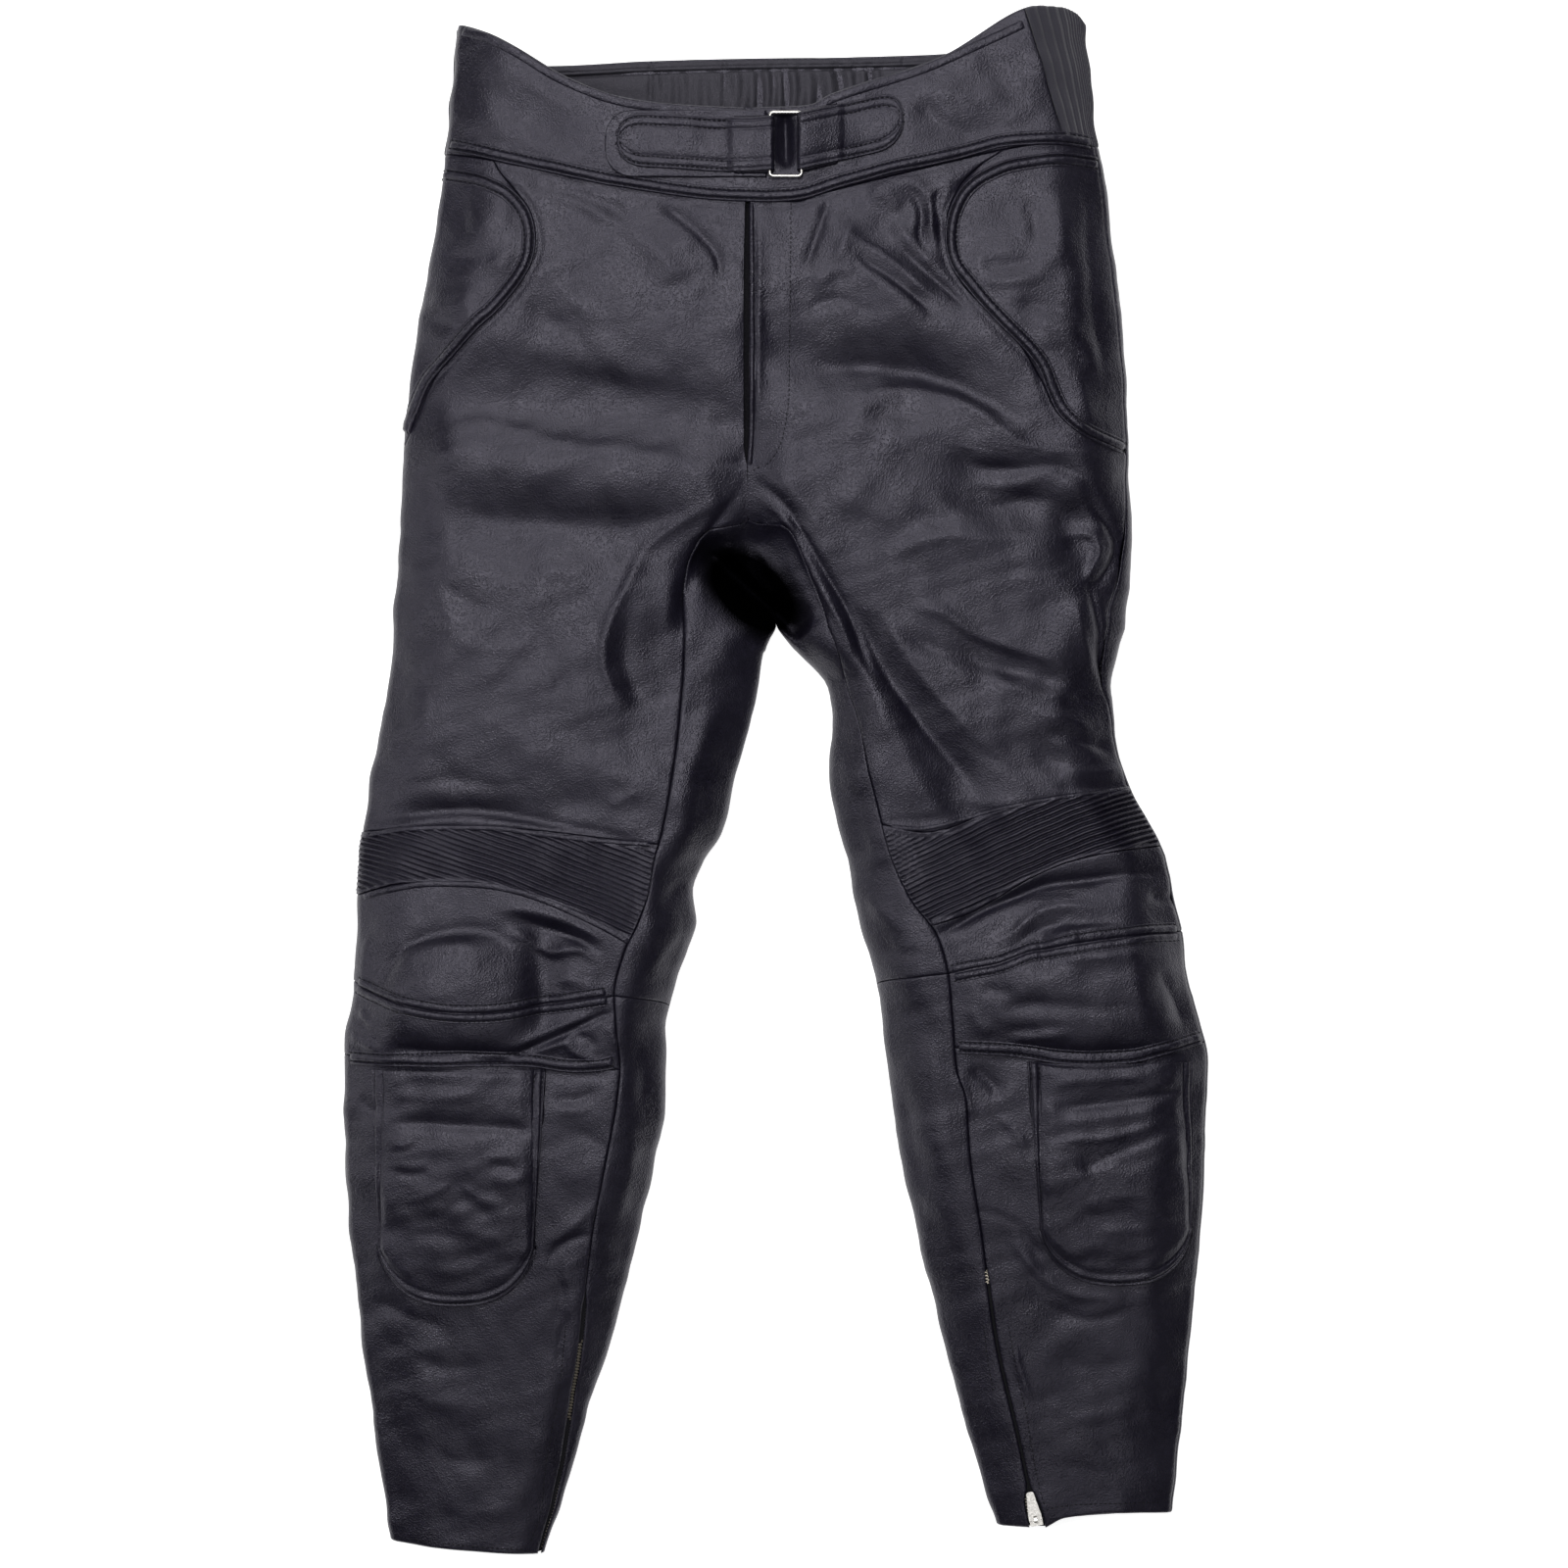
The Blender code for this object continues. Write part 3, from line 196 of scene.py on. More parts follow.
# Large folds: middle x, y, half length, half width, direction in degrees, height.
LARGE_FOLDS = (
    (-132, 276, 116, 30, -7, -9.5),
    (-134, 192, 112, 27, -4, -7),
    (-150, 240, 105, 24, -3, 3),
    (-86, 84, 46, 22, 80, -4),
    (-196, -8, 75, 11, 2, -3),
    (-160, -118, 34, 13, 92, -6),
    (-190, 345, 60, 20, -40, -2),
    (56, 298, 76, 20, -9, -7),
    (96, 52, 92, 17, -56, -6.5),
    (66, 72, 80, 12, -60, 3),
    (176, 84, 62, 14, -24, -4),
    (158, 208, 56, 20, -25, -7),
    (190, 26, 44, 13, -16, -4),
    (70, 350, 60, 12, -44, 3),
    (206, 172, 34, 16, -80, -6),
)

# Folds and creases drawn as soft lines on the front: height (a crease is negative), half
# width, lean (how much steeper the side on the left of the line is), and the points.
FOLDS = (
    # right thigh, from the waist down
    (1.4, 6, 0.2, (-165, 404), (-140, 398), (-120, 388), (-104, 379), (-94, 368)),
    (-1.6, 6, 0, (-172, 408), (-142, 405), (-118, 396), (-98, 386)),
    (-2.8, 6, 0.4, (-88, 399), (-69, 388), (-52, 374), (-41, 360), (-38, 342)),
    (2.2, 14, 0, (-104, 386), (-78, 366), (-62, 348)),
    (1.3, 6, 0, (-146, 338), (-132, 326), (-118, 314)),
    (-1.2, 9, 0, (-176, 322), (-150, 318), (-128, 304)),
    (-2.2, 18, 0, (-170, 300), (-120, 286), (-80, 280), (-34, 272)),
    (2.2, 11, -0.2, (-242, 248), (-204, 253), (-176, 248), (-148, 239), (-103, 234), (-64, 227),
     (-24, 211)),
    (-1.2, 13, 0.2, (-250, 214), (-218, 200), (-190, 190), (-148, 186), (-106, 186), (-64, 194),
     (-34, 204)),
    (1.9, 6, 0, (-96, 158), (-78, 173), (-60, 185), (-34, 198)),
    (1.1, 10, 0, (-180, 158), (-140, 150), (-116, 160)),
    (-1.2, 8, 0, (-236, 150), (-214, 132), (-190, 122)),
    (0.9, 8, 0, (-228, 110), (-196, 98), (-160, 100)),
    (-0.9, 9, 0, (-246, 90), (-232, 60), (-238, 34)),
    (2.6, 5.5, 0.4, (-88, 168), (-95, 154), (-104, 135), (-114, 113), (-118, 93), (-114, 72), (-100, 52)),
    (-2.6, 12, 0, (-98, 130), (-104, 106), (-100, 82), (-88, 58)),
    (1.7, 7, 0, (-71, 150), (-73, 130), (-77, 106)),
    (-1.4, 9, 0, (-276, 6), (-240, 8), (-216, 11), (-190, 6), (-162, 10)),
    (1.3, 6, 0, (-114, -10), (-104, -5), (-92, 1)),
    (-2.6, 5, 0.3, (-279, -23), (-240, -16), (-210, -13.5), (-188, -16), (-165, -20), (-140, -25),
     (-110, -31), (-84, -36)),
    (1.5, 4, 0, (-277, -27), (-240, -22), (-200, -21.5), (-172, -25), (-140, -30)),
    (1.1, 9, 0, (-140, 34), (-120, 16), (-96, 8)),
    (0.8, 12, 0, (-214, 64), (-180, 44), (-160, 20)),
    (-0.8, 7, 0, (-140, 90), (-150, 60), (-146, 36)),
    # left thigh
    (-2.0, 5, 0, (35, 400), (31, 386), (24, 366), (18, 350)),
    (1.4, 8, 0, (50, 388), (45, 372), (37, 354)),
    (1.6, 7, 0, (60, 404), (74, 402), (84, 392)),
    (2.4, 3.6, 0, (82, 410), (94, 405), (102, 398), (104, 388), (104, 376), (108, 364)),
    (-2.6, 3.4, 0.3, (80, 405), (91, 400), (96, 392), (97, 382), (96, 372), (101, 358)),
    (-2.2, 3, 0, (116, 410), (109, 401), (107, 391), (109, 380), (111, 366)),
    (1.8, 4.5, 0, (104, 399), (110, 405), (118, 412)),
    (2.2, 5, 0, (42, 378), (61, 366), (78, 355), (96, 339), (112, 328)),
    (-2.8, 4.6, 0.3, (52, 361), (64, 352), (78, 343), (92, 332), (107, 318)),
    (-2.4, 4, 0, (80, 367), (90, 357), (101, 347), (117, 333), (130, 322)),
    (1.5, 6, 0, (76, 386), (92, 368), (112, 348)),
    (1.6, 8, 0, (22, 340), (38, 351), (54, 352)),
    (-1.2, 7, 0, (18, 326), (40, 332), (66, 322)),
    (-5.0, 12, 0.2, (10, 290), (50, 292), (78, 289), (111, 282), (140, 268), (168, 250)),
    (2.2, 8, -0.2, (22, 274), (58, 270), (86, 273), (111, 269), (134, 259), (156, 242), (176, 231),
     (198, 232), (218, 223)),
    (-1.2, 7, 0, (56, 258), (84, 254), (108, 252)),
    (-3.2, 8, 0.3, (112, 230), (134, 220), (162, 218), (184, 221), (204, 213), (214, 200)),
    (-2.0, 7, 0, (108, 198), (140, 192), (162, 197), (190, 196)),
    (1.4, 6, 0, (120, 208), (150, 206), (178, 208)),
    (1.9, 9, 0, (72, 158), (94, 170), (120, 175), (148, 173), (184, 175), (206, 172)),
    (-3.4, 6, 0.5, (206, 208), (213, 192), (224, 178), (229, 166), (226, 155), (218, 144), (207, 137)),
    (3.0, 4.6, 0.3, (192, 171), (204, 173), (214, 170), (217, 160), (212, 150), (207, 138)),
    (-2.6, 3.6, 0, (208, 142), (214, 124), (218, 107), (220, 84), (226, 60)),
    (1.6, 6, 0, (200, 130), (206, 106), (214, 78)),
    (-1.2, 7, 0, (150, 152), (176, 150), (200, 156)),
    (-2.6, 7, 0.4, (44, 138), (58, 112), (72, 82), (92, 52), (116, 22), (140, -4)),
    (1.9, 8, 0, (64, 134), (84, 98), (108, 66), (140, 34)),
    (2.1, 7, 0.3, (86, 126), (111, 121), (134, 106), (162, 96), (198, 86)),
    (-2.4, 8, 0.3, (78, 112), (100, 100), (130, 90), (160, 82), (200, 74)),
    (1.4, 6, 0, (140, 78), (172, 66), (204, 64)),
    (1.5, 6, 0, (170, 54), (196, 48), (214, 42)),
    (-2.4, 6, 0.3, (180, 40), (206, 34), (228, 26)),
    (1.9, 5, 0, (192, 14), (216, 12), (236, 14)),
    (-1.8, 5, 0, (186, 2), (214, 2), (242, 4)),
    (-1.2, 7, 0, (120, 40), (150, 20), (176, 14)),
    (1.2, 7, 0, (96, 14), (130, -6), (170, -4)),
    (-1.0, 8, 0, (88, 192), (106, 184), (124, 186)),
    (1.0, 9, 0, (40, 206), (66, 190), (90, 186)),
    (-1.3, 4, 0, (70, -22), (94, -22), (120, -18)),
    # the foot of the fly, from which two creases run to the inside-leg seams
    (-3.4, 5.5, 0, (-22, 206), (-44, 176), (-54, 155), (-62, 128), (-67, 96)),
    (-3.6, 4.0, 0, (-18, 210), (-4, 200), (10, 183), (22, 163), (33, 144), (47, 121), (58, 93), (66, 72)),
    (2.8, 4.0, 0, (-14, 198), (4, 184), (17, 163), (29, 139), (42, 113), (53, 87)),
    (-1.4, 3, 0, (6, 176), (16, 152), (26, 128), (36, 101), (44, 79)),
    (1.4, 6, 0, (-4, 216), (16, 196), (32, 172)),
    # the waistband
    (-1.8, 13, 0, (-206, 488), (-174, 462), (-134, 436)),
    (1.5, 9, 0, (-188, 492), (-160, 474), (-128, 458)),
    (-1.4, 10, 0, (-214, 450), (-180, 436), (-150, 424)),
    (-1.8, 9, 0, (92, 470), (112, 452), (140, 440)),
    (1.6, 9, 0, (104, 478), (128, 470), (158, 474)),
    (-1.8, 11, 0, (120, 446), (156, 452), (188, 462)),
    (1.2, 8, 0, (150, 500), (172, 496), (190, 480)),
    # hip pads
    (-1.0, 8, 0, (-214, 412), (-212, 380), (-220, 350)),
    (0.9, 10, 0, (-190, 396), (-184, 372), (-192, 350)),
    (-0.8, 5, 0, (-228, 362), (-204, 358), (-184, 362)),
    (-0.9, 5, 0, (-236, 318), (-220, 312), (-206, 316)),
    (1.0, 8, 0, (-238, 336), (-222, 330), (-204, 334)),
    (-1.8, 4, 0, (170, 398), (173, 382), (173, 364)),
    (1.4, 8, 0, (188, 410), (190, 380), (188, 354)),
    (-1.7, 6, 0, (134, 356), (156, 354), (180, 358)),
    (1.4, 4, 0, (136, 342), (158, 341), (182, 344)),
    (-1.2, 6, 0, (160, 330), (180, 326), (206, 322)),
    (1.2, 6, 0, (172, 316), (190, 312), (206, 306)),
    (-1.2, 7, 0, (176, 300), (196, 296), (210, 290)),
    (-1.5, 7, 0, (208, 410), (212, 340), (222, 270)),
    (1.0, 7, 0, (200, 290), (206, 264), (212, 246)),
    # right knee
    (-3.6, 7, 0, (-268, -130), (-260, -114), (-245, -101), (-225, -94), (-204, -92), (-187, -97),
     (-177, -107)),
    (2.6, 4.5, 0, (-192, -80), (-170, -81), (-150, -86), (-130, -94), (-114, -104)),
    (-3.2, 5, 0, (-186, -88), (-160, -92), (-140, -98), (-120, -108)),
    (2.8, 4.4, 0.3, (-186, -99), (-175, -98), (-164, -105), (-150, -110), (-132, -108), (-122, -118)),
    (-1.6, 4, 0, (-166, -92), (-150, -98), (-134, -101), (-118, -112)),
    (1.5, 7, 0, (-150, -122), (-136, -128), (-120, -132)),
    (2.0, 5, 0, (-262, -112), (-240, -107), (-214, -105), (-192, -108)),
    (1.4, 6, 0, (-276, -96), (-280, -116), (-280, -136)),
    (-4.4, 8, 0.2, (-266, -170), (-240, -174), (-214, -177), (-190, -180), (-168, -178)),
    (-3.4, 4, 0.5, (-186, -184), (-164, -175), (-142, -165), (-124, -156), (-106, -149)),
    (2.4, 4.5, 0, (-186, -178), (-160, -166), (-136, -156), (-118, -151)),
    (2.2, 3.6, 0, (-170, -181), (-152, -174), (-142, -172), (-136, -178), (-124, -183), (-110, -182)),
    (-2.0, 4, 0, (-140, -166), (-128, -168), (-122, -176)),
    (1.4, 3, 0, (-116, -160), (-110, -168), (-108, -178)),
    (1.4, 3, 0, (-284, -148), (-276, -160), (-270, -172)),
    (-1.6, 3, 0, (-282, -156), (-274, -164), (-268, -176)),
    (1.6, 5, 0, (-290, -166), (-280, -170), (-268, -176)),
    # left knee
    (2.4, 6, 0, (176, -100), (206, -94), (240, -91)),
    (-6.5, 6.5, 0.2, (102, -98), (120, -90), (140, -79), (162, -70), (180, -63), (204, -60), (232, -57),
     (262, -54)),
    (1.6, 2.6, 0, (214, -66), (232, -62), (256, -60)),
    (-1.6, 5, 0, (168, -72), (190, -69), (206, -69)),
    (2.2, 6, -0.2, (146, -100), (160, -94), (170, -85), (182, -79), (204, -77), (234, -78)),
    (-2.2, 6, 0.2, (140, -112), (160, -104), (172, -94), (186, -90), (214, -88), (240, -88)),
    (-2.0, 8, 0, (175, -88), (178, -104), (180, -124)),
    (1.6, 5, 0, (192, -86), (198, -96), (200, -106)),
    (3.4, 6, 0, (190, -112), (216, -110), (250, -108)),
    (-1.8, 7, 0, (150, -146), (184, -142), (214, -145), (244, -142)),
    (-1.5, 6, 0, (136, -132), (150, -135), (160, -134)),
    (1.7, 7, 0, (130, -142), (134, -154), (146, -163)),
    (-1.4, 7, 0, (150, -146), (168, -142), (182, -140)),
    (1.8, 3, 0, (158, -169), (172, -168), (186, -166), (202, -165)),
    (-1.6, 4, 0, (150, -164), (172, -162), (196, -160)),
    (-3.4, 8, 0, (150, -172), (190, -176), (238, -176), (268, -172)),
    (-1.8, 5, 0, (250, -70), (262, -74), (272, -72)),
    (-1.6, 5, 0, (256, -120), (268, -140), (276, -160)),
    # shins, outside the guards
    (-2.4, 7, 0, (128, -184), (142, -194), (152, -206)),
    (1.5, 4, 0, (120, -190), (128, -208), (132, -224)),
    (1.3, 4, 0, (148, -220), (160, -230), (168, -244)),
    (-0.9, 4, 0, (132, -284), (150, -288), (170, -298)),
    (1.6, 5, 0, (156, -300), (168, -316), (184, -332), (206, -342), (236, -342)),
    (-1.2, 3.5, 0, (164, -296), (172, -308), (180, -318)),
    (-1.8, 7, 0, (168, -338), (190, -352), (216, -356), (246, -346)),
    (-2.2, 6, 0, (-152, -206), (-136, -208), (-118, -200)),
    (1.2, 5, 0, (-150, -214), (-138, -216), (-124, -214)),
    (-1.0, 7, 0, (-148, -222), (-130, -232), (-114, -238)),
    (1.5, 6, 0, (-158, -308), (-144, -298), (-130, -286), (-120, -276)),
    (-1.8, 4, 0.2, (-152, -324), (-150, -312), (-138, -304), (-122, -300)),
    (1.4, 6, 0, (-146, -336), (-142, -322), (-130, -314)),
    (-1.2, 4, 0, (-148, -322), (-146, -344), (-152, -366)),
    (-1.2, 6, 0, (-284, -206), (-276, -214), (-268, -218)),
    (-1.6, 8, 0, (-276, -342), (-252, -352), (-226, -362)),
    (1.2, 10, 0, (-276, -384), (-246, -376), (-214, -370)),
    (-1.2, 8, 0, (-262, -372), (-226, -388), (-190, -384)),
    (1.2, 11, 0, (-256, -398), (-220, -412), (-180, -404)),
    (-1.0, 9, 0, (-240, -440), (-214, -452), (-190, -448)),
    (0.9, 9, 0, (-230, -480), (-206, -486), (-180, -482)),
    (-1.0, 10, 0, (178, -372), (206, -386), (244, -380)),
    (1.0, 10, 0, (176, -408), (206, -420), (246, -414)),
    (-0.8, 9, 0, (190, -450), (216, -458), (246, -452)),
    (1.5, 3, 0, (160, -376), (165, -396), (171, -412)),
    (-1.6, 4, 0, (-140, -352), (-146, -372), (-148, -392)),
    # inside of the legs
    (-1.2, 8, 0, (-56, 20), (-50, 2), (-52, -18)),
    (1.2, 8, 0, (-46, 60), (-52, 36), (-58, 14)),
    (-1.2, 6, 0, (-62, -60), (-74, -74), (-80, -94)),
    (1.2, 6, 0, (-66, -92), (-78, -108), (-88, -122)),
    (-1.4, 6, 0, (-100, -168), (-90, -190), (-92, -214)),
    (1.2, 7, 0, (-96, -232), (-102, -262), (-110, -296)),
    (-1.0, 6, 0, (58, 4), (54, -20), (62, -48)),
    (1.0, 6, 0, (56, -66), (72, -84), (88, -98)),
    (-1.2, 6, 0, (68, -104), (84, -110), (100, -106)),
    (1.0, 8, 0, (98, -190), (104, -226), (112, -262)),
    (-1.0, 7, 0, (86, -204), (92, -240), (104, -280)),
)

# The tables list a fold where its shade or its light falls, which is on the slope that
# looks to the light. The fold itself lies about its own half width further away.
AWAY = (0.15, -0.9)
FOLDS = tuple((height, width, lean, *((x + AWAY[0] * width, y + AWAY[1] * width) for x, y in points))
              for height, width, lean, *points in FOLDS)
LARGE_FOLDS = tuple((x + AWAY[0] * width, y + AWAY[1] * width, length, width, degrees, height)
                    for x, y, length, width, degrees, height in LARGE_FOLDS)

# These are listed where they lie: the fall of the thighs towards the crotch, and then the
# ridge beside the fly, the hollow under the ring and the lip where the seat turns under.
LARGE_FOLDS += ((-28, 80, 75, 50, 84, -12),)
FOLDS += (
    (1.5, 4.5, 0.3, (-11.5, 388), (-11.5, 300), (-12.5, 224)),
    (-9.0, 6.0, 0, (6.2, 454), (6.4, 434), (6.8, 412)),
    (1.8, 3.2, 0, (-54, 146), (-45, 158), (-32, 161), (-19, 159), (-8, 154), (1, 144), (6, 132)),
    (1.8, 4, 0, (-10, 150), (-2, 142), (4, 128)),
)

# Folds of the back, which is out of sight: guessed, at the seat and at the hollow of the knee,
# and listed where they lie.
BACK_FOLDS = (
    (-1.6, 12, 0, (-210, 330), (-150, 318), (-80, 322)),
    (1.6, 12, 0, (-220, 296), (-150, 280), (-60, 288)),
    (-1.8, 12, 0, (-200, 214), (-150, 196), (-70, 206)),
    (1.4, 12, 0, (-230, 176), (-160, 160), (-90, 170)),
    (-1.6, 10, 0, (-240, 96), (-180, 84), (-110, 92)),
    (1.2, 10, 0, (-230, 44), (-170, 36), (-90, 44)),
    (-2.4, 7, 0, (-260, -92), (-200, -104), (-110, -96)),
    (2.0, 7, 0, (-262, -112), (-190, -122), (-110, -116)),
    (-2.2, 7, 0, (-264, -172), (-200, -160), (-120, -168)),
    (1.4, 9, 0, (-260, -230), (-200, -240), (-130, -232)),
    (-1.4, 10, 0, (-250, -330), (-200, -342), (-150, -334)),
    (-1.6, 12, 0, (206, 336), (140, 322), (60, 330)),
    (1.6, 12, 0, (214, 296), (130, 284), (50, 294)),
    (-1.8, 12, 0, (220, 200), (150, 188), (60, 198)),
    (1.4, 12, 0, (220, 158), (150, 148), (80, 158)),
    (-1.8, 10, 0, (214, 76), (160, 66), (90, 74)),
    (1.2, 10, 0, (214, 30), (160, 22), (80, 30)),
    (-2.4, 7, 0, (246, -76), (180, -84), (90, -78)),
    (2.0, 7, 0, (250, -98), (180, -106), (96, -100)),
    (-2.2, 7, 0, (258, -168), (190, -158), (110, -164)),
    (1.4, 9, 0, (260, -224), (190, -234), (120, -226)),
    (-1.4, 10, 0, (250, -330), (200, -342), (140, -334)),
)

# The slots in the seams: where the ankle zips start, half their widths above the slider and at
# it, the height where they widen for it (below the hem on the right), and the open fly.
ZIP_TOP = {"r": -342.0, "l": -324.0}
ZIP_SLOT = {"r": 1.3, "l": 0.9}
SLIDER_SLOT = 5.4
SLIDER_SLOT_FROM = {"r": -600.0, "l": -474.0}
FLY_SLOT = 1.9
FLY_FOOT, FLY_TOP = 212, 400


class Curve:
    """A function through (x, y) points that never overshoots them, level past its ends:
    cubic pieces whose slope at a point is the weighted harmonic mean of its neighbours'."""

    def __init__(self, points):
        self.x, self.y = np.array(sorted(points), float).T
        step, slope = np.diff(self.x), np.diff(self.y) / np.diff(self.x)
        turn = np.zeros(len(self.x))
        same = slope[1:] * slope[:-1] > 0
        weight = step[1:] + step[:-1]
        before, after = np.where(same, slope[:-1], 1), np.where(same, slope[1:], 1)
        mean = 3 * weight / ((weight + step[1:]) / before + (weight + step[:-1]) / after)
        turn[1:-1], turn[0], turn[-1] = np.where(same, mean, 0), slope[0], slope[-1]
        self.step, self.turn = step, turn

    def __call__(self, at):
        at = np.clip(at, self.x[0], self.x[-1])
        i = np.clip(np.searchsorted(self.x, at, side="right") - 1, 0, len(self.step) - 1)
        step, t = self.step[i], (at - self.x[i]) / self.step[i]
        start = (1 + 2 * t) * (1 - t) ** 2 * self.y[i] + t * (1 - t) ** 2 * step * self.turn[i]
        return start + t * t * (3 - 2 * t) * self.y[i + 1] - t * t * (1 - t) * step * self.turn[i + 1]


def ease(t):
    """0 below t = 0 and 1 above t = 1, level at both ends."""
    t = np.clip(t, 0.0, 1.0)
    return t * t * (3 - 2 * t)


def rise_from_edge(distance, reach, height):
    """A tight turn where the leather folds over, then a slope that levels out at reach."""
    tight = EDGE_TURN / np.maximum(height, 2 * EDGE_TURN)
    slope = np.sin(np.pi / 2 * np.clip(distance / reach, 0, 1))
    return tight * quarter_round(distance, EDGE_TURN) + (1 - tight) * slope


def quarter_round(distance, reach, power=2.0):
    """0 at an edge and 1 from reach on, upright at the edge like a quarter of a circle."""
    return np.sqrt(1 - (1 - np.clip(distance / reach, 0, 1)) ** power)


def unit(v):
    return v / np.maximum(np.linalg.norm(v, axis=-1, keepdims=True), 1e-9)


def along_across(x, y, cx, cy, degrees):
    """Distances from a middle, along a direction and across it."""
    cos, sin = math.cos(math.radians(degrees)), math.sin(math.radians(degrees))
    return (x - cx) * cos + (y - cy) * sin, (y - cy) * cos - (x - cx) * sin


def large_relief(x, y):
    """Bulges as flat-topped bells, and large folds as long bells across their direction."""
    total = np.zeros(np.broadcast(x, y).shape)
    for cx, cy, rx, ry, height in BULGES:
        total += height * np.exp(-(((x - cx) / rx) ** 2 + ((y - cy) / ry) ** 2) ** 1.5)
    for cx, cy, length, width, degrees, height in LARGE_FOLDS:
        ahead, across = along_across(x, y, cx, cy, degrees)
        total += height * np.exp(-((ahead / length) ** 4) - (across / width) ** 2)
    return total


def sink_at_crotch(front, x, y):
    """Heights of the front with the hollow below the crotch pressed into them."""
    cx, cy, length, width, degrees, floor = PIT
    ahead, across = along_across(x, y, cx, cy, degrees)
    away = (np.abs(ahead / length) ** 3 + np.abs(across / width) ** 3) ** (1 / 3)
    sides, ends = PIT_RISE
    sunk = floor + sides * np.abs(across / width) ** 1.15 + ends * np.abs(ahead / length) ** 3
    return front - np.maximum(front - sunk, 0) * ease((1.12 - away) / 0.2)


def rounded_path(points, count):
    """count points along a Catmull-Rom curve through the given ones, evenly by parameter."""
    p = np.array(points, float)
    p = np.concatenate([[2 * p[0] - p[1]], p, [2 * p[-1] - p[-2]]])
    at = np.linspace(0, len(points) - 1, count)
    i = np.minimum(at.astype(int), len(points) - 2)
    t = (at - i)[:, None]
    a, b, c, d = p[i], p[i + 1], p[i + 2], p[i + 3]
    return 0.5 * (2 * b + (c - a) * t + (2 * a - 5 * b + 4 * c - d) * t**2 + (3 * b - a - 3 * c + d) * t**3)


def unevenness(x, y):
    """Slow swells of a few tenths of a millimetre, as a hide has that was never quite flat."""
    return 1.5 * (0.34 * np.sin(x / 8.3 + 1.7 * np.sin(y / 23)) * np.sin(y / 10.1 + 1.3 * np.sin(x / 19))
            + 0.42 * np.sin(x / 17.0 + y / 29.0 + 2 * np.sin(y / 41)) * np.sin(y / 13.0 - x / 47.0)
            + 0.16 * np.sin(x / 4.7 - y / 9.1 + 1.9 * np.sin(y / 15)) * np.sin(y / 5.3 + x / 12.7))


def fold_height(x, y, folds):
    """Each fold is a bell with a sharper crest across its line, steeper on one side, and
    fades out at both ends."""
    flat = np.stack([np.ravel(x), np.ravel(y)], axis=1)
    total = np.zeros(len(flat))
    for height, width, lean, *points in folds:
        line = rounded_path(points, 4 * len(points) - 3)
        reach = 3.0 * width * (1 + abs(lean))
        near = np.all((flat > line.min(0) - reach) & (flat < line.max(0) + reach), axis=1)
        if not near.any():
            continue
        p = flat[near]
        best, side, at = np.full(len(p), 1e9), np.zeros(len(p)), np.zeros(len(p))
        count = len(line) - 1
        for k, (a, b) in enumerate(zip(line, line[1:])):
            ab = b - a
            t = np.clip((p - a) @ ab / (ab @ ab), 0, 1)
            away = p - a - t[:, None] * ab
            distance = np.hypot(*away.T)
            closer = distance < best
            best[closer] = distance[closer]
            side[closer] = np.sign(ab[0] * away[closer, 1] - ab[1] * away[closer, 0])
            at[closer] = (k + t[closer]) / count
        ends = ease(np.minimum(at, 1 - at) / 0.3 + 0.12)
        across = (best / (width * (1 + lean * side))) ** 2
        total[near] += height * ends * (0.62 * np.exp(-across) + 0.38 * np.exp(-5.5 * across))
    return total.reshape(np.shape(x))


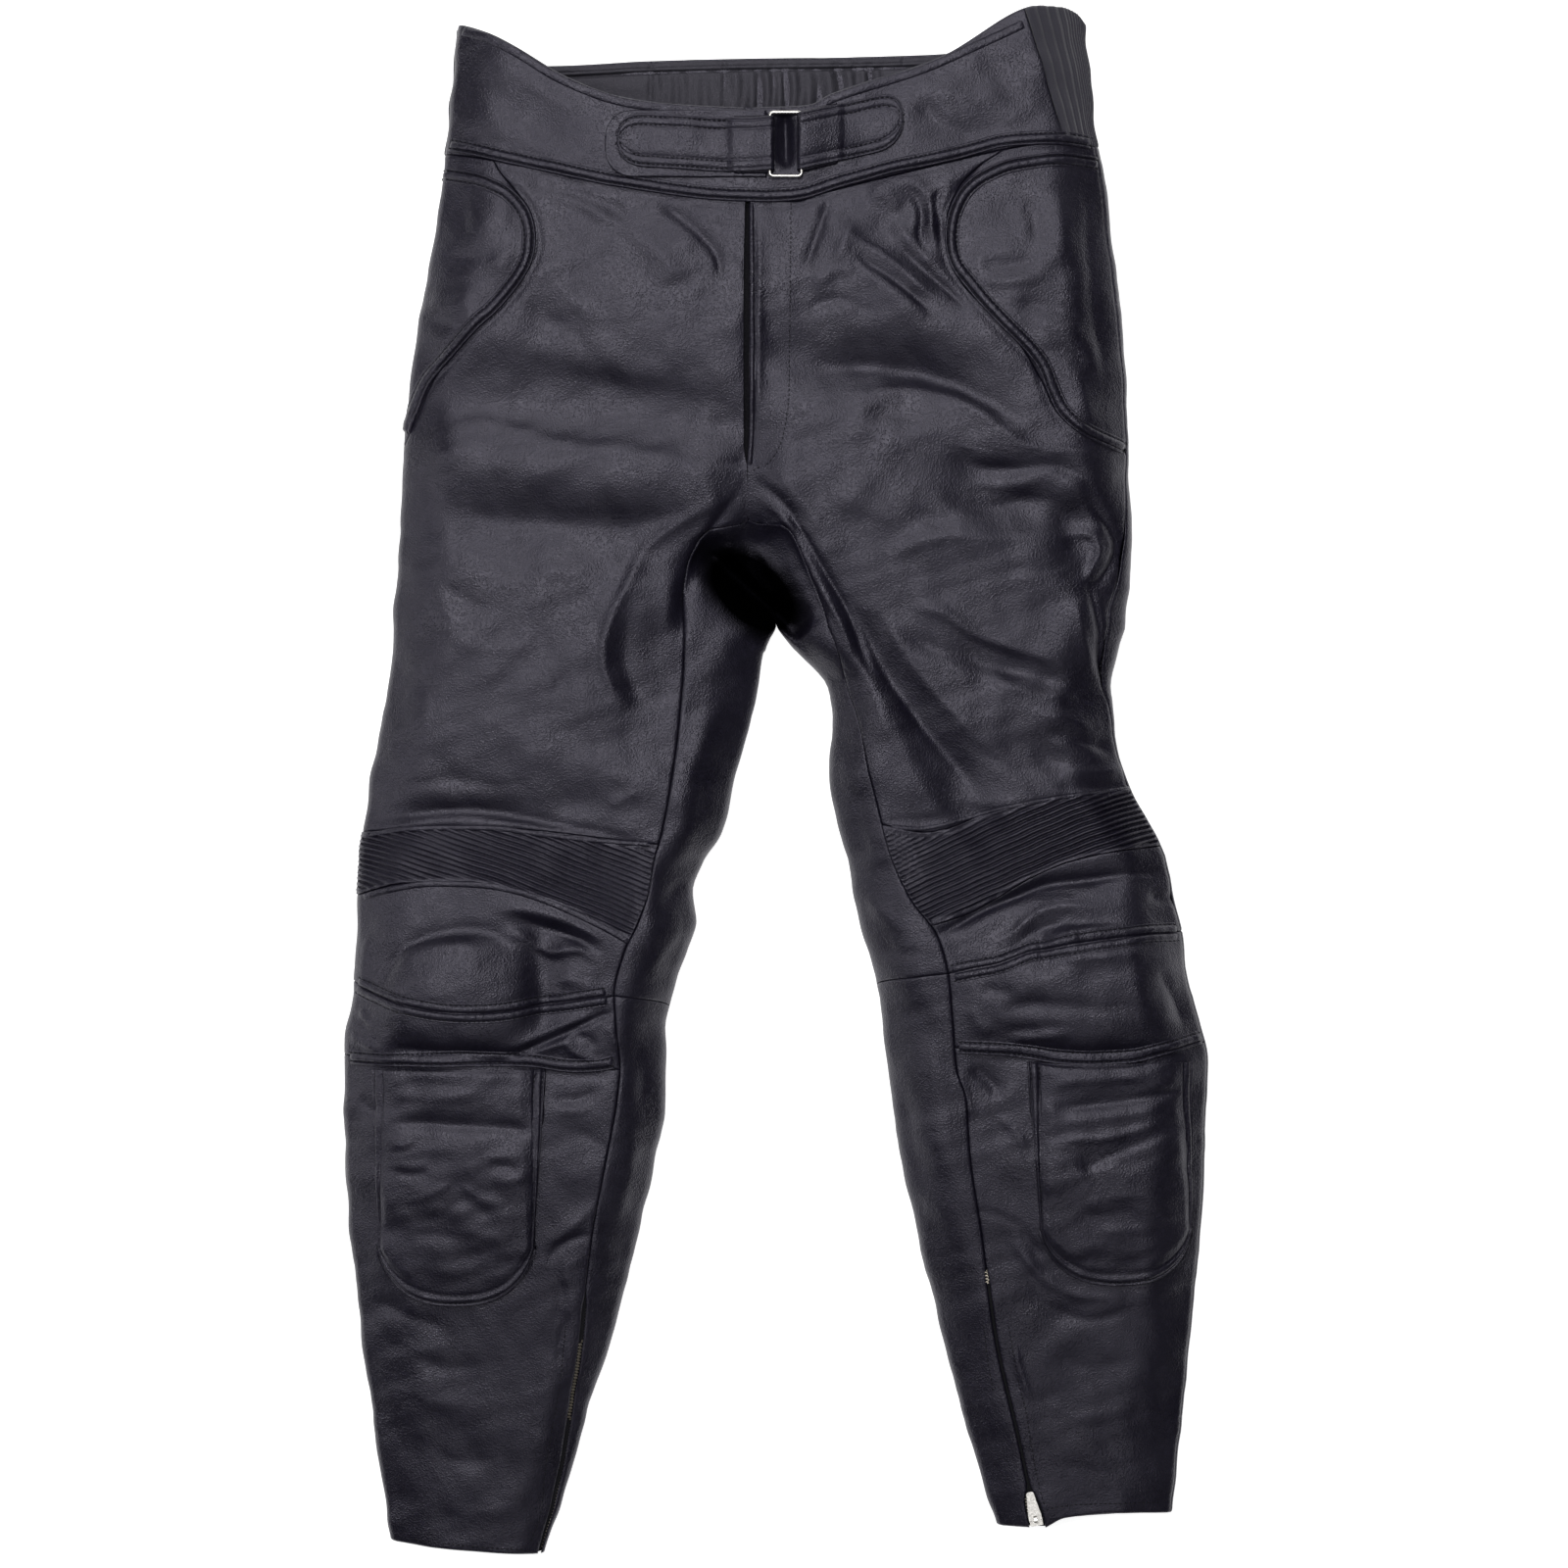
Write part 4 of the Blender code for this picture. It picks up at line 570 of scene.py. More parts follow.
class Half:
    """One half of the trousers as a flattened tube of closed sections."""

    def __init__(self, side):
        self.side = side
        self.left = side == "l"
        self.facing = 1 if self.left else -1
        rows = SECTIONS[side]
        self.column = {n: Curve([(row[0], row[i]) for row in rows]) for i, n in enumerate(COLUMNS) if i}
        self.cross = {name: Curve(points) for name, points in CROSS_SEAMS[side].items()}
        self.pad_edge = Curve(HIP_PAD_EDGE[side])
        self.pad_tip = min(point[0] for point in HIP_PAD_EDGE[side])
        self.waist_top = Curve(WAIST_TOP[side])
        self.bend = Curve([(600, -19), (177.5, -19), (112, self.at("seam", 112.0))])

    def at(self, name, y):
        return self.column[name](y)

    def ring(self, y, turn):
        """Points of the section at y: x runs from the inner to the outer edge by the cosine
        of turn, and the height is the crown less a quarter round at either edge."""
        outer, inner = self.at("outer", y), self.at("inner", y)
        share = (1 - np.cos(np.pi * turn)) / 2
        width = np.abs(outer - inner)
        x = inner + (outer - inner) * share
        from_in, from_out = width * share, width * (1 - share)
        fold, crown, dip, shut = (self.at(n, y) for n in ("fold", "crown", "dip", "shut"))
        under = self.at("under", y) * (1 - quarter_round(from_in, UNDER_REACH))
        back = fold * (1 - quarter_round(from_out, UNDER_REACH)) + under
        outside = rise_from_edge(from_out, TOP_REACH_OUT, crown - fold)
        valley = np.maximum(np.abs(self.at("seam", y) - inner) * 1.35, 30.0)
        inside = shut * rise_from_edge(from_in, TOP_REACH_IN,
                                       crown - dip) + (1 - shut) * ease(from_in / valley)
        front = crown - (crown - fold) * (1 - outside) - (crown - dip) * (1 - inside)
        front += large_relief(x, y) * outside * np.where(dip >= crown - 6, 1.0, inside)
        front = sink_at_crotch(front, x, y)
        return np.stack(np.broadcast_arrays(x, y + 0 * x, np.where(turn > 1, back, front)), axis=-1)

    def turn_at(self, x, y):
        outer, inner = self.at("outer", y), self.at("inner", y)
        return np.arccos(1 - 2 * np.clip((x - inner) / (outer - inner), 0, 1)) / np.pi

    def slot(self, y):
        """Half the width of the slot in the inside-leg and crotch seam at a height."""
        gap = ZIP_SLOT[self.side]
        slim = gap * ease((ZIP_TOP[self.side] - y) / 14)
        fly = FLY_SLOT * ease((y - FLY_FOOT) / 16) * ease((FLY_TOP - y) / 4)
        return slim + fly + (SLIDER_SLOT - gap) * ease((SLIDER_SLOT_FROM[self.side] - y) / 16)

    def seam_turn(self, y, side=1):
        return self.turn_at(self.at("seam", y) + side * self.facing * self.slot(y), y)

    def above_seam_turn(self, y):
        """The inside-leg seam's turn, with its sharp bend at the crotch cut across."""
        x = np.where(y > 112, self.bend(y), self.at("seam", y) + self.facing * self.slot(y))
        return self.turn_at(x, y)

    def side_turn(self, y):
        return self.turn_at(self.at("outer", y) - self.facing * self.at("tuck", y), y)

    def pad_turn(self, y):
        side = self.side_turn(y)
        return np.where(y > self.pad_tip, np.minimum(self.turn_at(self.pad_edge(y), y), side), side)

    def place(self, upper, lower, share, start, f, end, level=False):
        """(y, turn) where a row at share between two seams meets the column f between two
        edges, found by stepping y until it fits the seams at its own x. With level, the rows
        take the seams' slope only near the seams and lie level between them."""
        high, low = (1 - ease(share / 0.36), ease(share / 0.3 - 2.3)) if level else (1 - share, share)
        middle = self.at("outer", 0.0) / 2
        y = upper(middle) * (1 - share) + lower(middle) * share + 0 * f
        row = y
        for _ in range(16):
            turn = start(y) + f * (end(y) - start(y))
            x = self.ring(y, turn)[..., 0]
            aim = row + (upper(x) - upper(middle)) * high + (lower(x) - lower(middle)) * low
            y = y + 0.7 * (aim - y)
        return y, turn

    def out(self, y, turn):
        """The outward direction, found without crossing from the front to the back."""
        low, high = np.where(turn > 1, 1.0001, 0.0), np.where(turn > 1, 1.9999, 1.0)
        across = self.ring(y, np.minimum(turn + 0.004, high)) - self.ring(y, np.maximum(turn - 0.004, low))
        return self.facing * unit(np.cross(across, self.ring(y + 1, turn) - self.ring(y - 1, turn)))

    def drape(self, x, y):
        """Points of the dressed front over plan points, and the directions out of it."""
        turn = self.turn_at(x, y)
        base, out = self.ring(y, turn), self.out(y, turn)
        return base + out * (fold_height(x, y, FOLDS) + unevenness(x, y))[..., None], out


HALVES = {side: Half(side) for side in ("r", "l")}


def dense(length, step, edge=(0.0, 0.8, 1.9, 3.4)):
    """Places from 0 to 1 along a length: close together at both ends, then evenly."""
    ends = np.array(edge) / length
    count = max(int((length - 2 * edge[-1]) / step), 2)
    middle = np.linspace(ends[-1], 1 - ends[-1], count)
    return np.concatenate([ends[:-1], middle, 1 - ends[:-1][::-1]])


def grid(down, over):
    """Two tables with a row for each place down a panel and a column for each across it."""
    return np.meshgrid(down, over, indexing="ij")


def smooth(mesh):
    mesh.polygons.foreach_set("use_smooth", np.ones(len(mesh.polygons), bool))
    mesh.update()


def grid_mesh(name, points, closed=False):
    """A mesh over a grid of points in millimetres, its faces turned so that down x over points
    out. A closed one joins its last column to its first."""
    rows, columns = points.shape[:2]
    index = np.arange(rows * columns).reshape(rows, columns)
    if closed:
        index = np.concatenate([index, index[:, :1]], axis=1)
    a, b, c, d = index[:-1, :-1], index[:-1, 1:], index[1:, 1:], index[1:, :-1]
    faces = np.stack([a, b, c, d], axis=-1).reshape(-1, 4)
    mesh = bpy.data.meshes.new(name)
    mesh.vertices.add(rows * columns)
    mesh.vertices.foreach_set("co", (points.reshape(-1, 3) * MM).astype(np.float32).ravel())
    mesh.loops.add(faces.size)
    mesh.loops.foreach_set("vertex_index", faces.astype(np.int32).ravel())
    mesh.polygons.add(len(faces))
    mesh.polygons.foreach_set("loop_start", np.arange(0, faces.size, 4, dtype=np.int32))
    mesh.update(calc_edges=True)
    smooth(mesh)
    return mesh


def add_piece(name, mesh, material, nodes=()):
    """Puts a mesh in the scene on the trousers' body, in place of the nodes it stands for."""
    piece = bpy.data.objects.new(name, mesh)
    bpy.context.collection.objects.link(piece)
    mesh.materials.clear()
    mesh.materials.append(MATERIALS[material])
    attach(piece, BODY)
    if nodes:
        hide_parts(*nodes)
    return piece


def wall_piece(name, points, flip, node_names=(), thickness=LEATHER, material="leather"):
    """A panel: its outer face from a grid and a wall inwards."""
    mesh = grid_mesh(name, points[:, ::-1] if flip else points)
    piece = add_piece(name, mesh, material, node_names)
    solid = piece.modifiers.new("wall", "SOLIDIFY")
    solid.thickness, solid.offset, solid.use_rim = thickness * MM, -1, True
    solid.use_quality_normals = True


# ---------------------------------------------------------------- places on the front

def front_at(x, y, lift=0.0):
    """Points of the dressed front at plan places on either half, and the directions out."""
    x, y = np.broadcast_arrays(np.asarray(x, float), np.asarray(y, float))
    right = x < HALVES["r"].at("inner", y)
    a, b = HALVES["r"].drape(x, y), HALVES["l"].drape(x, y)
    point, out = (np.where(right[..., None], m, n) for m, n in zip(a, b))
    out = np.where(out[..., 2:] < 0, -out, out)
    return point + out * np.asarray(lift + 0 * x)[..., None], out


def along(points, step=1.6):
    """A smooth plan path through given points, its samples evenly spaced in mm."""
    line = rounded_path(points, 40 * len(points))
    run = np.concatenate([[0], np.cumsum(np.hypot(*np.diff(line, axis=0).T))])
    even = np.linspace(0, run[-1], max(int(run[-1] / step), 4) + 1)
    return np.stack([np.interp(even, run, line[:, k]) for k in (0, 1)], axis=1), even


def sideways(line):
    """Unit plan directions to the left of a path."""
    ahead = unit(np.gradient(line, axis=0))
    return np.stack([-ahead[:, 1], ahead[:, 0]], axis=1)


def capped_tube(name, rings):
    """A closed skin over rings of points, shut by a fan at either end."""
    count, around = rings.shape[:2]
    index = np.arange(count * around).reshape(count, around)
    wrap = np.concatenate([index, index[:, :1]], axis=1)
    quads = np.stack([wrap[:-1, :-1], wrap[1:, :-1], wrap[1:, 1:], wrap[:-1, 1:]], axis=-1).reshape(-1, 4)
    mesh = bpy.data.meshes.new(name)
    faces = quads.tolist() + [index[0].tolist(), index[-1][::-1].tolist()]
    mesh.from_pydata((rings.reshape(-1, 3) * MM).tolist(), [], faces)
    smooth(mesh)
    return mesh


# Surfaces across a seam, as (distance to the left of its path, height) in millimetres: a
# lapped edge with two sunk rows of stitches, and a joint opened flat with a row either side.
LAP = ((0, -1.2), (0, 0.6), (0.25, 1.3), (0.8, 1.6), (1.4, 1.35), (1.8, 0.4), (2.1, 0.0), (2.4, 0.35),
       (2.9, 1.2), (3.8, 1.6), (5.0, 1.65), (6.2, 1.4), (7.0, 0.85), (7.5, 0.15), (7.8, -0.05), (8.2, 0.3),
       (8.8, 0.5), (9.5, 0.1), (9.9, -0.7))
HALF_OPEN = ((0.0, -1.0), (0.5, 0.2), (1.1, 1.2), (2.4, 1.55), (3.9, 1.25), (5.0, 0.6), (5.45, -0.05),
             (5.8, 0.1), (6.3, 0.5), (6.9, 0.1), (7.3, -0.7))
OPEN = tuple((-d, h) for d, h in HALF_OPEN[:0:-1]) + HALF_OPEN
ROWS = {"lap": (2.1, 7.8), "open": (-5.45, 5.45)}
# Every row of stitches that the pieces ask for: its plan path and its height over the surface.
STITCHES = []


def welt(width, height):
    """A half-round cord under leather, as a profile."""
    shape = ((-1.06, -0.5), (-1, 0.1), (-0.85, 0.6), (-0.5, 0.95), (0, 1.08), (0.5, 0.95), (0.85, 0.6),
             (1, 0.1), (1.06, -0.5))
    return tuple((v * width / 2, h * height) for v, h in shape)


# How much a strip's height wavers, how deep its underside lies in the surface, and how high
# its stitches stand.
PUCKER = 0.1
UNDER_STRIP = 1.5
ROW_LIFT = 0.12


def strip(name, points, profile, rows=()):
    """A raised strip draped along a plan path. Its height swells a little between stitches."""
    line, run = along(points)
    side = sideways(line)
    v, h = np.array(profile).T
    x, y = line[:, :1] + side[:, :1] * v, line[:, 1:] + side[:, 1:] * v
    wave = 1 + PUCKER * np.sin(run * 2 * np.pi / 6.3 + 1.3 * np.sin(run / 17)) + PUCKER * np.sin(run / 9.1)
    ends = ease(np.minimum(run, run[-1] - run) / 3)[:, None]
    rise = np.where(h > 0.3, h * wave[:, None], h) * ends - 1.3 * (1 - ends)
    top = front_at(x, y, rise)[0]
    under = front_at(x[:, ::-3], y[:, ::-3], -UNDER_STRIP)[0]
    add_piece(name, capped_tube(name, np.concatenate([top, under], axis=1)), "leather")
    for row in rows:
        STITCHES.append((line + side * row, ROW_LIFT))


def stitch_row(points):
    """A row of stitches on the bare surface."""
    STITCHES.append((along(points)[0], 0.0))


def make_stitches(name):
    """Every stitch of every row in one mesh: a short thread with pointed ends, sunk at them."""
    centre, ahead, out = [], [], []
    for line, lift in STITCHES:
        run = np.concatenate([[0], np.cumsum(np.hypot(*np.diff(line, axis=0).T))])
        at = np.arange(STITCH_PITCH / 2, run[-1], STITCH_PITCH)
        x, y = (np.interp(at, run, line[:, k]) for k in (0, 1))
        point, normal = front_at(x, y, lift)
        dx, dy = (np.interp(at, run, g) for g in unit(np.gradient(line, axis=0)).T)
        forward = np.stack([dx, dy, 0 * dx], axis=1)
        forward = unit(forward - normal * (forward * normal).sum(1, keepdims=True))
        centre.append(point)
        ahead.append(forward)
        out.append(normal)
    thread_mesh(name, *(np.concatenate(part) for part in (centre, ahead, out)))


def thread_mesh(name, centre, ahead, out):
    """Small spindles along ahead at each centre."""
    across, sides = np.cross(ahead, out), STITCH_SIDES
    angle = np.arange(sides) * 2 * np.pi / sides
    rings = []
    for place, size, drop in ((-0.5, 0.45, -0.28), (-0.28, 1.0, 0.05), (0.28, 1.0, 0.05),
                              (0.5, 0.45, -0.28)):
        middle = centre + ahead * place * STITCH_LENGTH + out * drop
        spoke = across[:, None] * np.cos(angle)[:, None] + out[:, None] * np.sin(angle)[:, None]
        rings.append(middle[:, None] + spoke * STITCH_RADIUS * size)
    points = np.stack(rings, axis=1)
    count = len(centre)
    index = np.arange(4 * sides).reshape(4, sides)
    wrap = np.concatenate([index, index[:, :1]], axis=1)
    quads = np.stack([wrap[:-1, :-1], wrap[1:, :-1], wrap[1:, 1:], wrap[:-1, 1:]], axis=-1).reshape(-1, 4)
    one = quads.tolist() + [index[0].tolist(), index[-1][::-1].tolist()]
    faces = [[i + 4 * sides * k for i in face] for k in range(count) for face in one]
    mesh = bpy.data.meshes.new(name)
    mesh.from_pydata((points.reshape(-1, 3) * MM).tolist(), [], faces)
    smooth(mesh)
    add_piece(name, mesh, "thread")


# ---------------------------------------------------------------- materials

def node_group(name, inputs, outputs):
    """An empty node group with float or vector sockets."""
    group = bpy.data.node_groups.new(name, "ShaderNodeTree")
    kinds = {"f": "NodeSocketFloat", "v": "NodeSocketVector"}
    for direction, sockets in (("INPUT", inputs), ("OUTPUT", outputs)):
        for label, kind, *value in sockets:
            socket = group.interface.new_socket(label, in_out=direction, socket_type=kinds[kind])
            if value:
                socket.default_value = value[0]
    nodes = group.nodes
    return group, nodes.new("NodeGroupInput"), nodes.new("NodeGroupOutput")


def node(tree, kind, settings=None, **values):
    """A node with its settings, and each input, by its name or as i and its number, given a
    value or linked to a socket."""
    made = tree.nodes.new(kind)
    for key, value in (settings or {}).items():
        setattr(made, key, value)
    for key, value in values.items():
        numbered = key[0] == "i" and key[1:].isdigit()
        socket = made.inputs[int(key[1:]) if numbered else key.replace("_", " ")]
        if isinstance(value, bpy.types.NodeSocket):
            tree.links.new(value, socket)
        else:
            socket.default_value = value
    return made


def span(tree, value, low, high, to_low=0.0, to_high=1.0):
    """value remapped from low..high, clamped."""
    return node(tree, "ShaderNodeMapRange", i0=value, i1=low, i2=high, i3=to_low, i4=to_high).outputs[0]


def noise(tree, place, scale, detail, rough=0.5):
    return node(tree, "ShaderNodeTexNoise", Vector=place, Scale=scale, Detail=detail,
                Roughness=rough).outputs["Fac"]


def times(tree, one, two):
    return node(tree, "ShaderNodeMath", {"operation": "MULTIPLY"}, i0=one, i1=two).outputs[0]


def times_plus(tree, one, two, three):
    """one * two + three."""
    return node(tree, "ShaderNodeMath", {"operation": "MULTIPLY_ADD"}, i0=one, i1=two, i2=three).outputs[0]


def mix(tree, share, one, two):
    """From colour one to colour two."""
    return node(tree, "ShaderNodeMix", {"data_type": "RGBA"}, i0=share, i6=one, i7=two).outputs[2]


def brighter(colour, factor):
    return tuple(min(c * factor, 1) for c in colour[:3]) + (1,)


def grain_group():
    """Leather's surface: pebbles, finer pores, scuffs and a slow unevenness, all by place."""
    group, given, result = node_group("leather_grain", (("Grain", "f", 1.0), ("Scuff", "f", 1.0)),
                                      (("Normal", "v"), ("Pebble", "f"), ("Wear", "f"), ("Tone", "f")))
    place = node(group, "ShaderNodeTexCoord").outputs["Object"]
    warp = node(group, "ShaderNodeTexNoise", Vector=place, Scale=420.0, Detail=1.0)
    bent = node(group, "ShaderNodeVectorMath", {"operation": "MULTIPLY_ADD"}, i0=warp.outputs["Color"],
                i1=(0.0007, 0.0007, 0.0007), i2=place).outputs[0]
    cells = node(group, "ShaderNodeTexVoronoi", {"feature": "SMOOTH_F1"}, Vector=bent, Scale=820.0,
                 Smoothness=0.45).outputs["Distance"]
    pebble = span(group, cells, 0.12, 0.62, 1.0, 0.0)
    pores = noise(group, place, 1900.0, 3.0, 0.6)
    scuffs = noise(group, place, 340.0, 4.0, 0.66)
    broad = noise(group, place, 22.0, 5.0, 0.62)
    uneven = noise(group, place, 46.0, 2.0)
    fine = times_plus(group, pores, 0.3, pebble)
    mixed = times_plus(group, scuffs, 1.1, fine)
    scaled = times(group, mixed, given.outputs["Grain"])
    rolling = times_plus(group, uneven, 6.0, scaled)
    bump = node(group, "ShaderNodeBump", Strength=0.75, Distance=0.0002, Height=rolling)
    group.links.new(bump.outputs["Normal"], result.inputs["Normal"])
    group.links.new(pebble, result.inputs["Pebble"])
    rubbed = times(group, span(group, scuffs, 0.52, 0.7), given.outputs["Scuff"])
    group.links.new(rubbed, result.inputs["Wear"])
    group.links.new(broad, result.inputs["Tone"])
    return group


def principled(name):
    made = bpy.data.materials.new(name)
    made.use_nodes = True
    tree = made.node_tree
    return made, tree, tree.nodes["Principled BSDF"]


def painted_shade_mask(tree):
    """Where shade is painted: 1 in the hollow below the crotch and 0 outside it, by place."""
    x, y, length, width, degrees, _ = PIT
    plan = node(tree, "ShaderNodeMapping", {"vector_type": "TEXTURE"},
                Vector=node(tree, "ShaderNodeTexCoord").outputs["Object"],
                Location=(x * MM, y * MM, 0), Rotation=(0, 0, math.radians(degrees)),
                Scale=((length + 2) * MM, (width + 2) * MM, 10)).outputs[0]
    away = node(tree, "ShaderNodeVectorMath", {"operation": "LENGTH"}, Vector=plan).outputs["Value"]
    return span(tree, away, 0.72, 1.12, 1.0, 0.0)


def leather(name, dark, pale, rough, grain=1.0, scuff=1.0):
    """Leather whose colour and gloss vary with its grain, its scuffs and its tone. In the
    hollow below the crotch it carries painted shade, by place: there it is painted near black,
    because the modelled hollow is too shallow to lie in shade of its own. Metallic 1 over that
    black takes away the gloss, so the painted shade has no sheen."""
    made, tree, shader = principled(name)
    surface = node(tree, "ShaderNodeGroup", {"node_tree": GRAIN}, Grain=grain, Scuff=scuff)
    tone = span(tree, surface.outputs["Tone"], 0.3, 0.7)
    base = mix(tree, tone, dark, pale)
    worn = times(tree, surface.outputs["Wear"], 0.5)
    colour = mix(tree, worn, base, brighter(pale, 2.1))
    # Painted shade: in the hollow below the crotch the colour is mixed to near black and Metallic is set to
    # 1 there, which takes the gloss away.
    deep = painted_shade_mask(tree)
    tree.links.new(mix(tree, deep, colour, PIT_PAINTED_SHADE), shader.inputs["Base Color"])
    tree.links.new(deep, shader.inputs["Metallic"])
    gloss = span(tree, surface.outputs["Pebble"], 0.0, 1.0, rough + 0.1, rough - 0.04)
    tree.links.new(times_plus(tree, tone, 0.12, gloss), shader.inputs["Roughness"])
    tree.links.new(surface.outputs["Normal"], shader.inputs["Normal"])
    shader.inputs["Specular IOR Level"].default_value = 0.5
    shader.inputs["Specular Tint"].default_value = (0.98, 0.94, 1.1, 1)
    return made


def woven(name, colour, rough, scale, strength, fuzz=0.0):
    """A ribbed or woven textile: waves across both directions under a little fuzz."""
    made, tree, shader = principled(name)
    place = node(tree, "ShaderNodeTexCoord").outputs["Object"]
    waves = [node(tree, "ShaderNodeTexWave", {"bands_direction": axis}, Vector=place, Scale=scale,
                  Distortion=0.6, Detail=1.0).outputs["Fac"] for axis in "XY"]
    weave = times(tree, *waves)
    tree.links.new(mix(tree, weave, colour, brighter(colour, 2.2)), shader.inputs["Base Color"])
    bump = node(tree, "ShaderNodeBump", Strength=strength, Distance=0.0003, Height=weave)
    tree.links.new(bump.outputs["Normal"], shader.inputs["Normal"])
    shader.inputs["Roughness"].default_value = rough
    shader.inputs["Specular IOR Level"].default_value = 0.25
    shader.inputs["Sheen Weight"].default_value = fuzz
    return made


def metal(name, colour, rough):
    """Plated metal with faint handling marks."""
    made, tree, shader = principled(name)
    place = node(tree, "ShaderNodeTexCoord").outputs["Object"]
    marks = noise(tree, place, 700.0, 4.0, 0.65)
    tree.links.new(span(tree, marks, 0.35, 0.7, rough, rough + 0.16), shader.inputs["Roughness"])
    bump = node(tree, "ShaderNodeBump", Strength=0.15, Distance=0.0001, Height=marks)
    tree.links.new(bump.outputs["Normal"], shader.inputs["Normal"])
    shader.inputs["Base Color"].default_value = colour
    shader.inputs["Metallic"].default_value = 1.0
    return made


GRAIN = grain_group()
# The next colour is painted shade: the near black that the hollow below the crotch is painted with.
PIT_PAINTED_SHADE = (0.0006, 0.0006, 0.0009, 1)
BLACK = (0.005, 0.0042, 0.0095, 1), (0.009, 0.008, 0.0155, 1)
MATERIALS = {
    # The leather, with the painted shade of the hollow below the crotch in it.
    "leather": leather("black_leather_painted_pit_shade", *BLACK, 0.25),
    "pleats": leather("pleated_leather", *BLACK, 0.25, 0.8),
    # The facing behind the fly's slot: its own dark flesh side, made near black and matt as painted shade so
    # that the slot reads dark.
    "underside_shade": leather("underside_painted_shade", (0.001, 0.001, 0.0015, 1), (0.002, 0.002, 0.003, 1), 0.85, 1.4),
    "lining": leather("lining", (0.012, 0.0115, 0.016, 1), (0.03, 0.029, 0.036, 1), 0.46, 0.7, 0.3),
    "thread": woven("thread", (0.004, 0.0038, 0.006, 1), 0.55, 900.0, 0.4),
    "elastic": woven("elastic", (0.03, 0.028, 0.04, 1), 0.6, 520.0, 0.9, 0.3),
    "tape": woven("zip_tape", (0.008, 0.008, 0.01, 1), 0.85, 900.0, 0.5),
    "nickel": metal("nickel", (0.66, 0.64, 0.61, 1), 0.24),
    "teeth": metal("zip_teeth", (0.62, 0.56, 0.47, 1), 0.3),
}


# ---------------------------------------------------------------- panels

def edge_distance(points):
    """Distance of each point of a grid from the nearest edge, measured along the grid."""
    rows = np.linalg.norm(np.diff(points, axis=0), axis=-1)
    columns = np.linalg.norm(np.diff(points, axis=1), axis=-1)
    down = np.concatenate([0 * rows[:1], np.cumsum(rows, axis=0)])
    over = np.concatenate([0 * columns[:, :1], np.cumsum(columns, axis=1)], axis=1)
    return np.minimum(np.minimum(down, down[-1] - down), np.minimum(over, over[:, -1:] - over))


def dress(half, y, turn, folds, roll=SEAM_ROLL, extra=0.0):
    """The surface over a grid of places, with its folds raised and its edges rolled in."""
    points, out = half.ring(y, turn), half.out(y, turn)
    plan = points[..., 0], points[..., 1]
    rise = fold_height(*plan, folds) + unevenness(*plan) + extra
    rise = rise - roll * (1 - quarter_round(edge_distance(points), 2.6))
    inner = np.abs(points[..., 0] - half.at("inner", points[..., 1]))
    rise = rise * np.where(points[..., 1] > 90, ease(inner / 7), 1)
    moved = points + out * rise[..., None]
    moved[..., 2] = np.maximum(moved[..., 2], 0.0)
    return moved


def front_grid(half, upper, lower, shares, f):
    """Places between two cross seams, from the inside-leg seam to the side seam."""
    share, f = grid(shares, f)
    return half.place(half.cross[upper], half.cross[lower], share, half.seam_turn, f, half.side_turn)


def front_panel(half, name, upper, lower, length, node_name):
    places = front_grid(half, upper, lower, dense(length, GRID), dense(200, GRID))
    wall_piece(f"{name}_{half.side}", dress(half, *places, FOLDS), half.left, [f"{node_name}_{half.side}"])


PAD_LEATHER = 2.0


def thigh_and_hip_pad(half):
    """The thigh's front to the pad's curved edge, and the pad from there to the side seam."""
    a, b = half.cross["waist"], half.cross["band_top"]
    share, f = grid(dense(430, GRID), dense(230, GRID))
    y, turn = half.place(a, b, share, half.above_seam_turn, f, half.pad_turn, level=True)
    places = y, np.maximum(turn, half.seam_turn(y) + 0.0002 * f)
    wall_piece(f"thigh_front_{half.side}", dress(half, *places, FOLDS), half.left, [f"front_{half.side}"])
    middle = half.at("outer", 0.0) / 2
    last = (a(middle) - half.pad_tip) / (a(middle) - b(middle)) - 0.006
    share, over = grid(dense(190, GRID) * last, dense(80, GRID))
    y, turn = half.place(a, b, share, half.pad_turn, over, half.side_turn, level=True)
    wall_piece(f"hip_guard_{half.side}", dress(half, y, turn, FOLDS), half.left, [f"hip_pad_{half.side}"],
               PAD_LEATHER)


PLEAT_PITCH, PLEAT_HEIGHT = 3.75, 3.3


def pleat_phase(half, x, y):
    """How many pleats lie below a place in the stretch band: each pleat is a slanting line,
    steeper towards the inside leg, and its pitch wavers."""
    if half.side == "r":
        s = x + 284
        slanted = y + 0.25 * s + 0.0005 * s * s
    else:
        s = x - 72
        slanted = y - 0.56 * s + 0.0008 * s * s
    waver = 0.3 * np.sin(x / 43 + y / 31) + 0.12 * np.sin(x / 14.7 - y / 13) + 0.05 * np.sin(x / 5.1 + y / 7)
    return slanted / PLEAT_PITCH + waver


def pleat_height(phase):
    """Round backs between sharp creases."""
    t = phase - np.floor(phase)
    deep = 0.8 + 0.35 * np.sin(np.floor(phase) * 2.4) ** 2
    return deep * (np.sin(np.pi * t) - 1)


def stretch_band(half):
    places = front_grid(half, "band_top", "band_bottom", dense(54, 0.62), dense(200, 1.9))
    points = half.ring(*places)
    x, y = points[..., 0], points[..., 1]
    near = edge_distance(points)
    pleats = PLEAT_HEIGHT * pleat_height(pleat_phase(half, x, y)) * ease(near / 3.5 + 0.15)
    moved = dress(half, *places, FOLDS, 0.5, pleats + 1.1)
    wall_piece(f"pleated_band_{half.side}", moved, half.left, [f"stretch_band_{half.side}"], 1.0,
               "pleats")


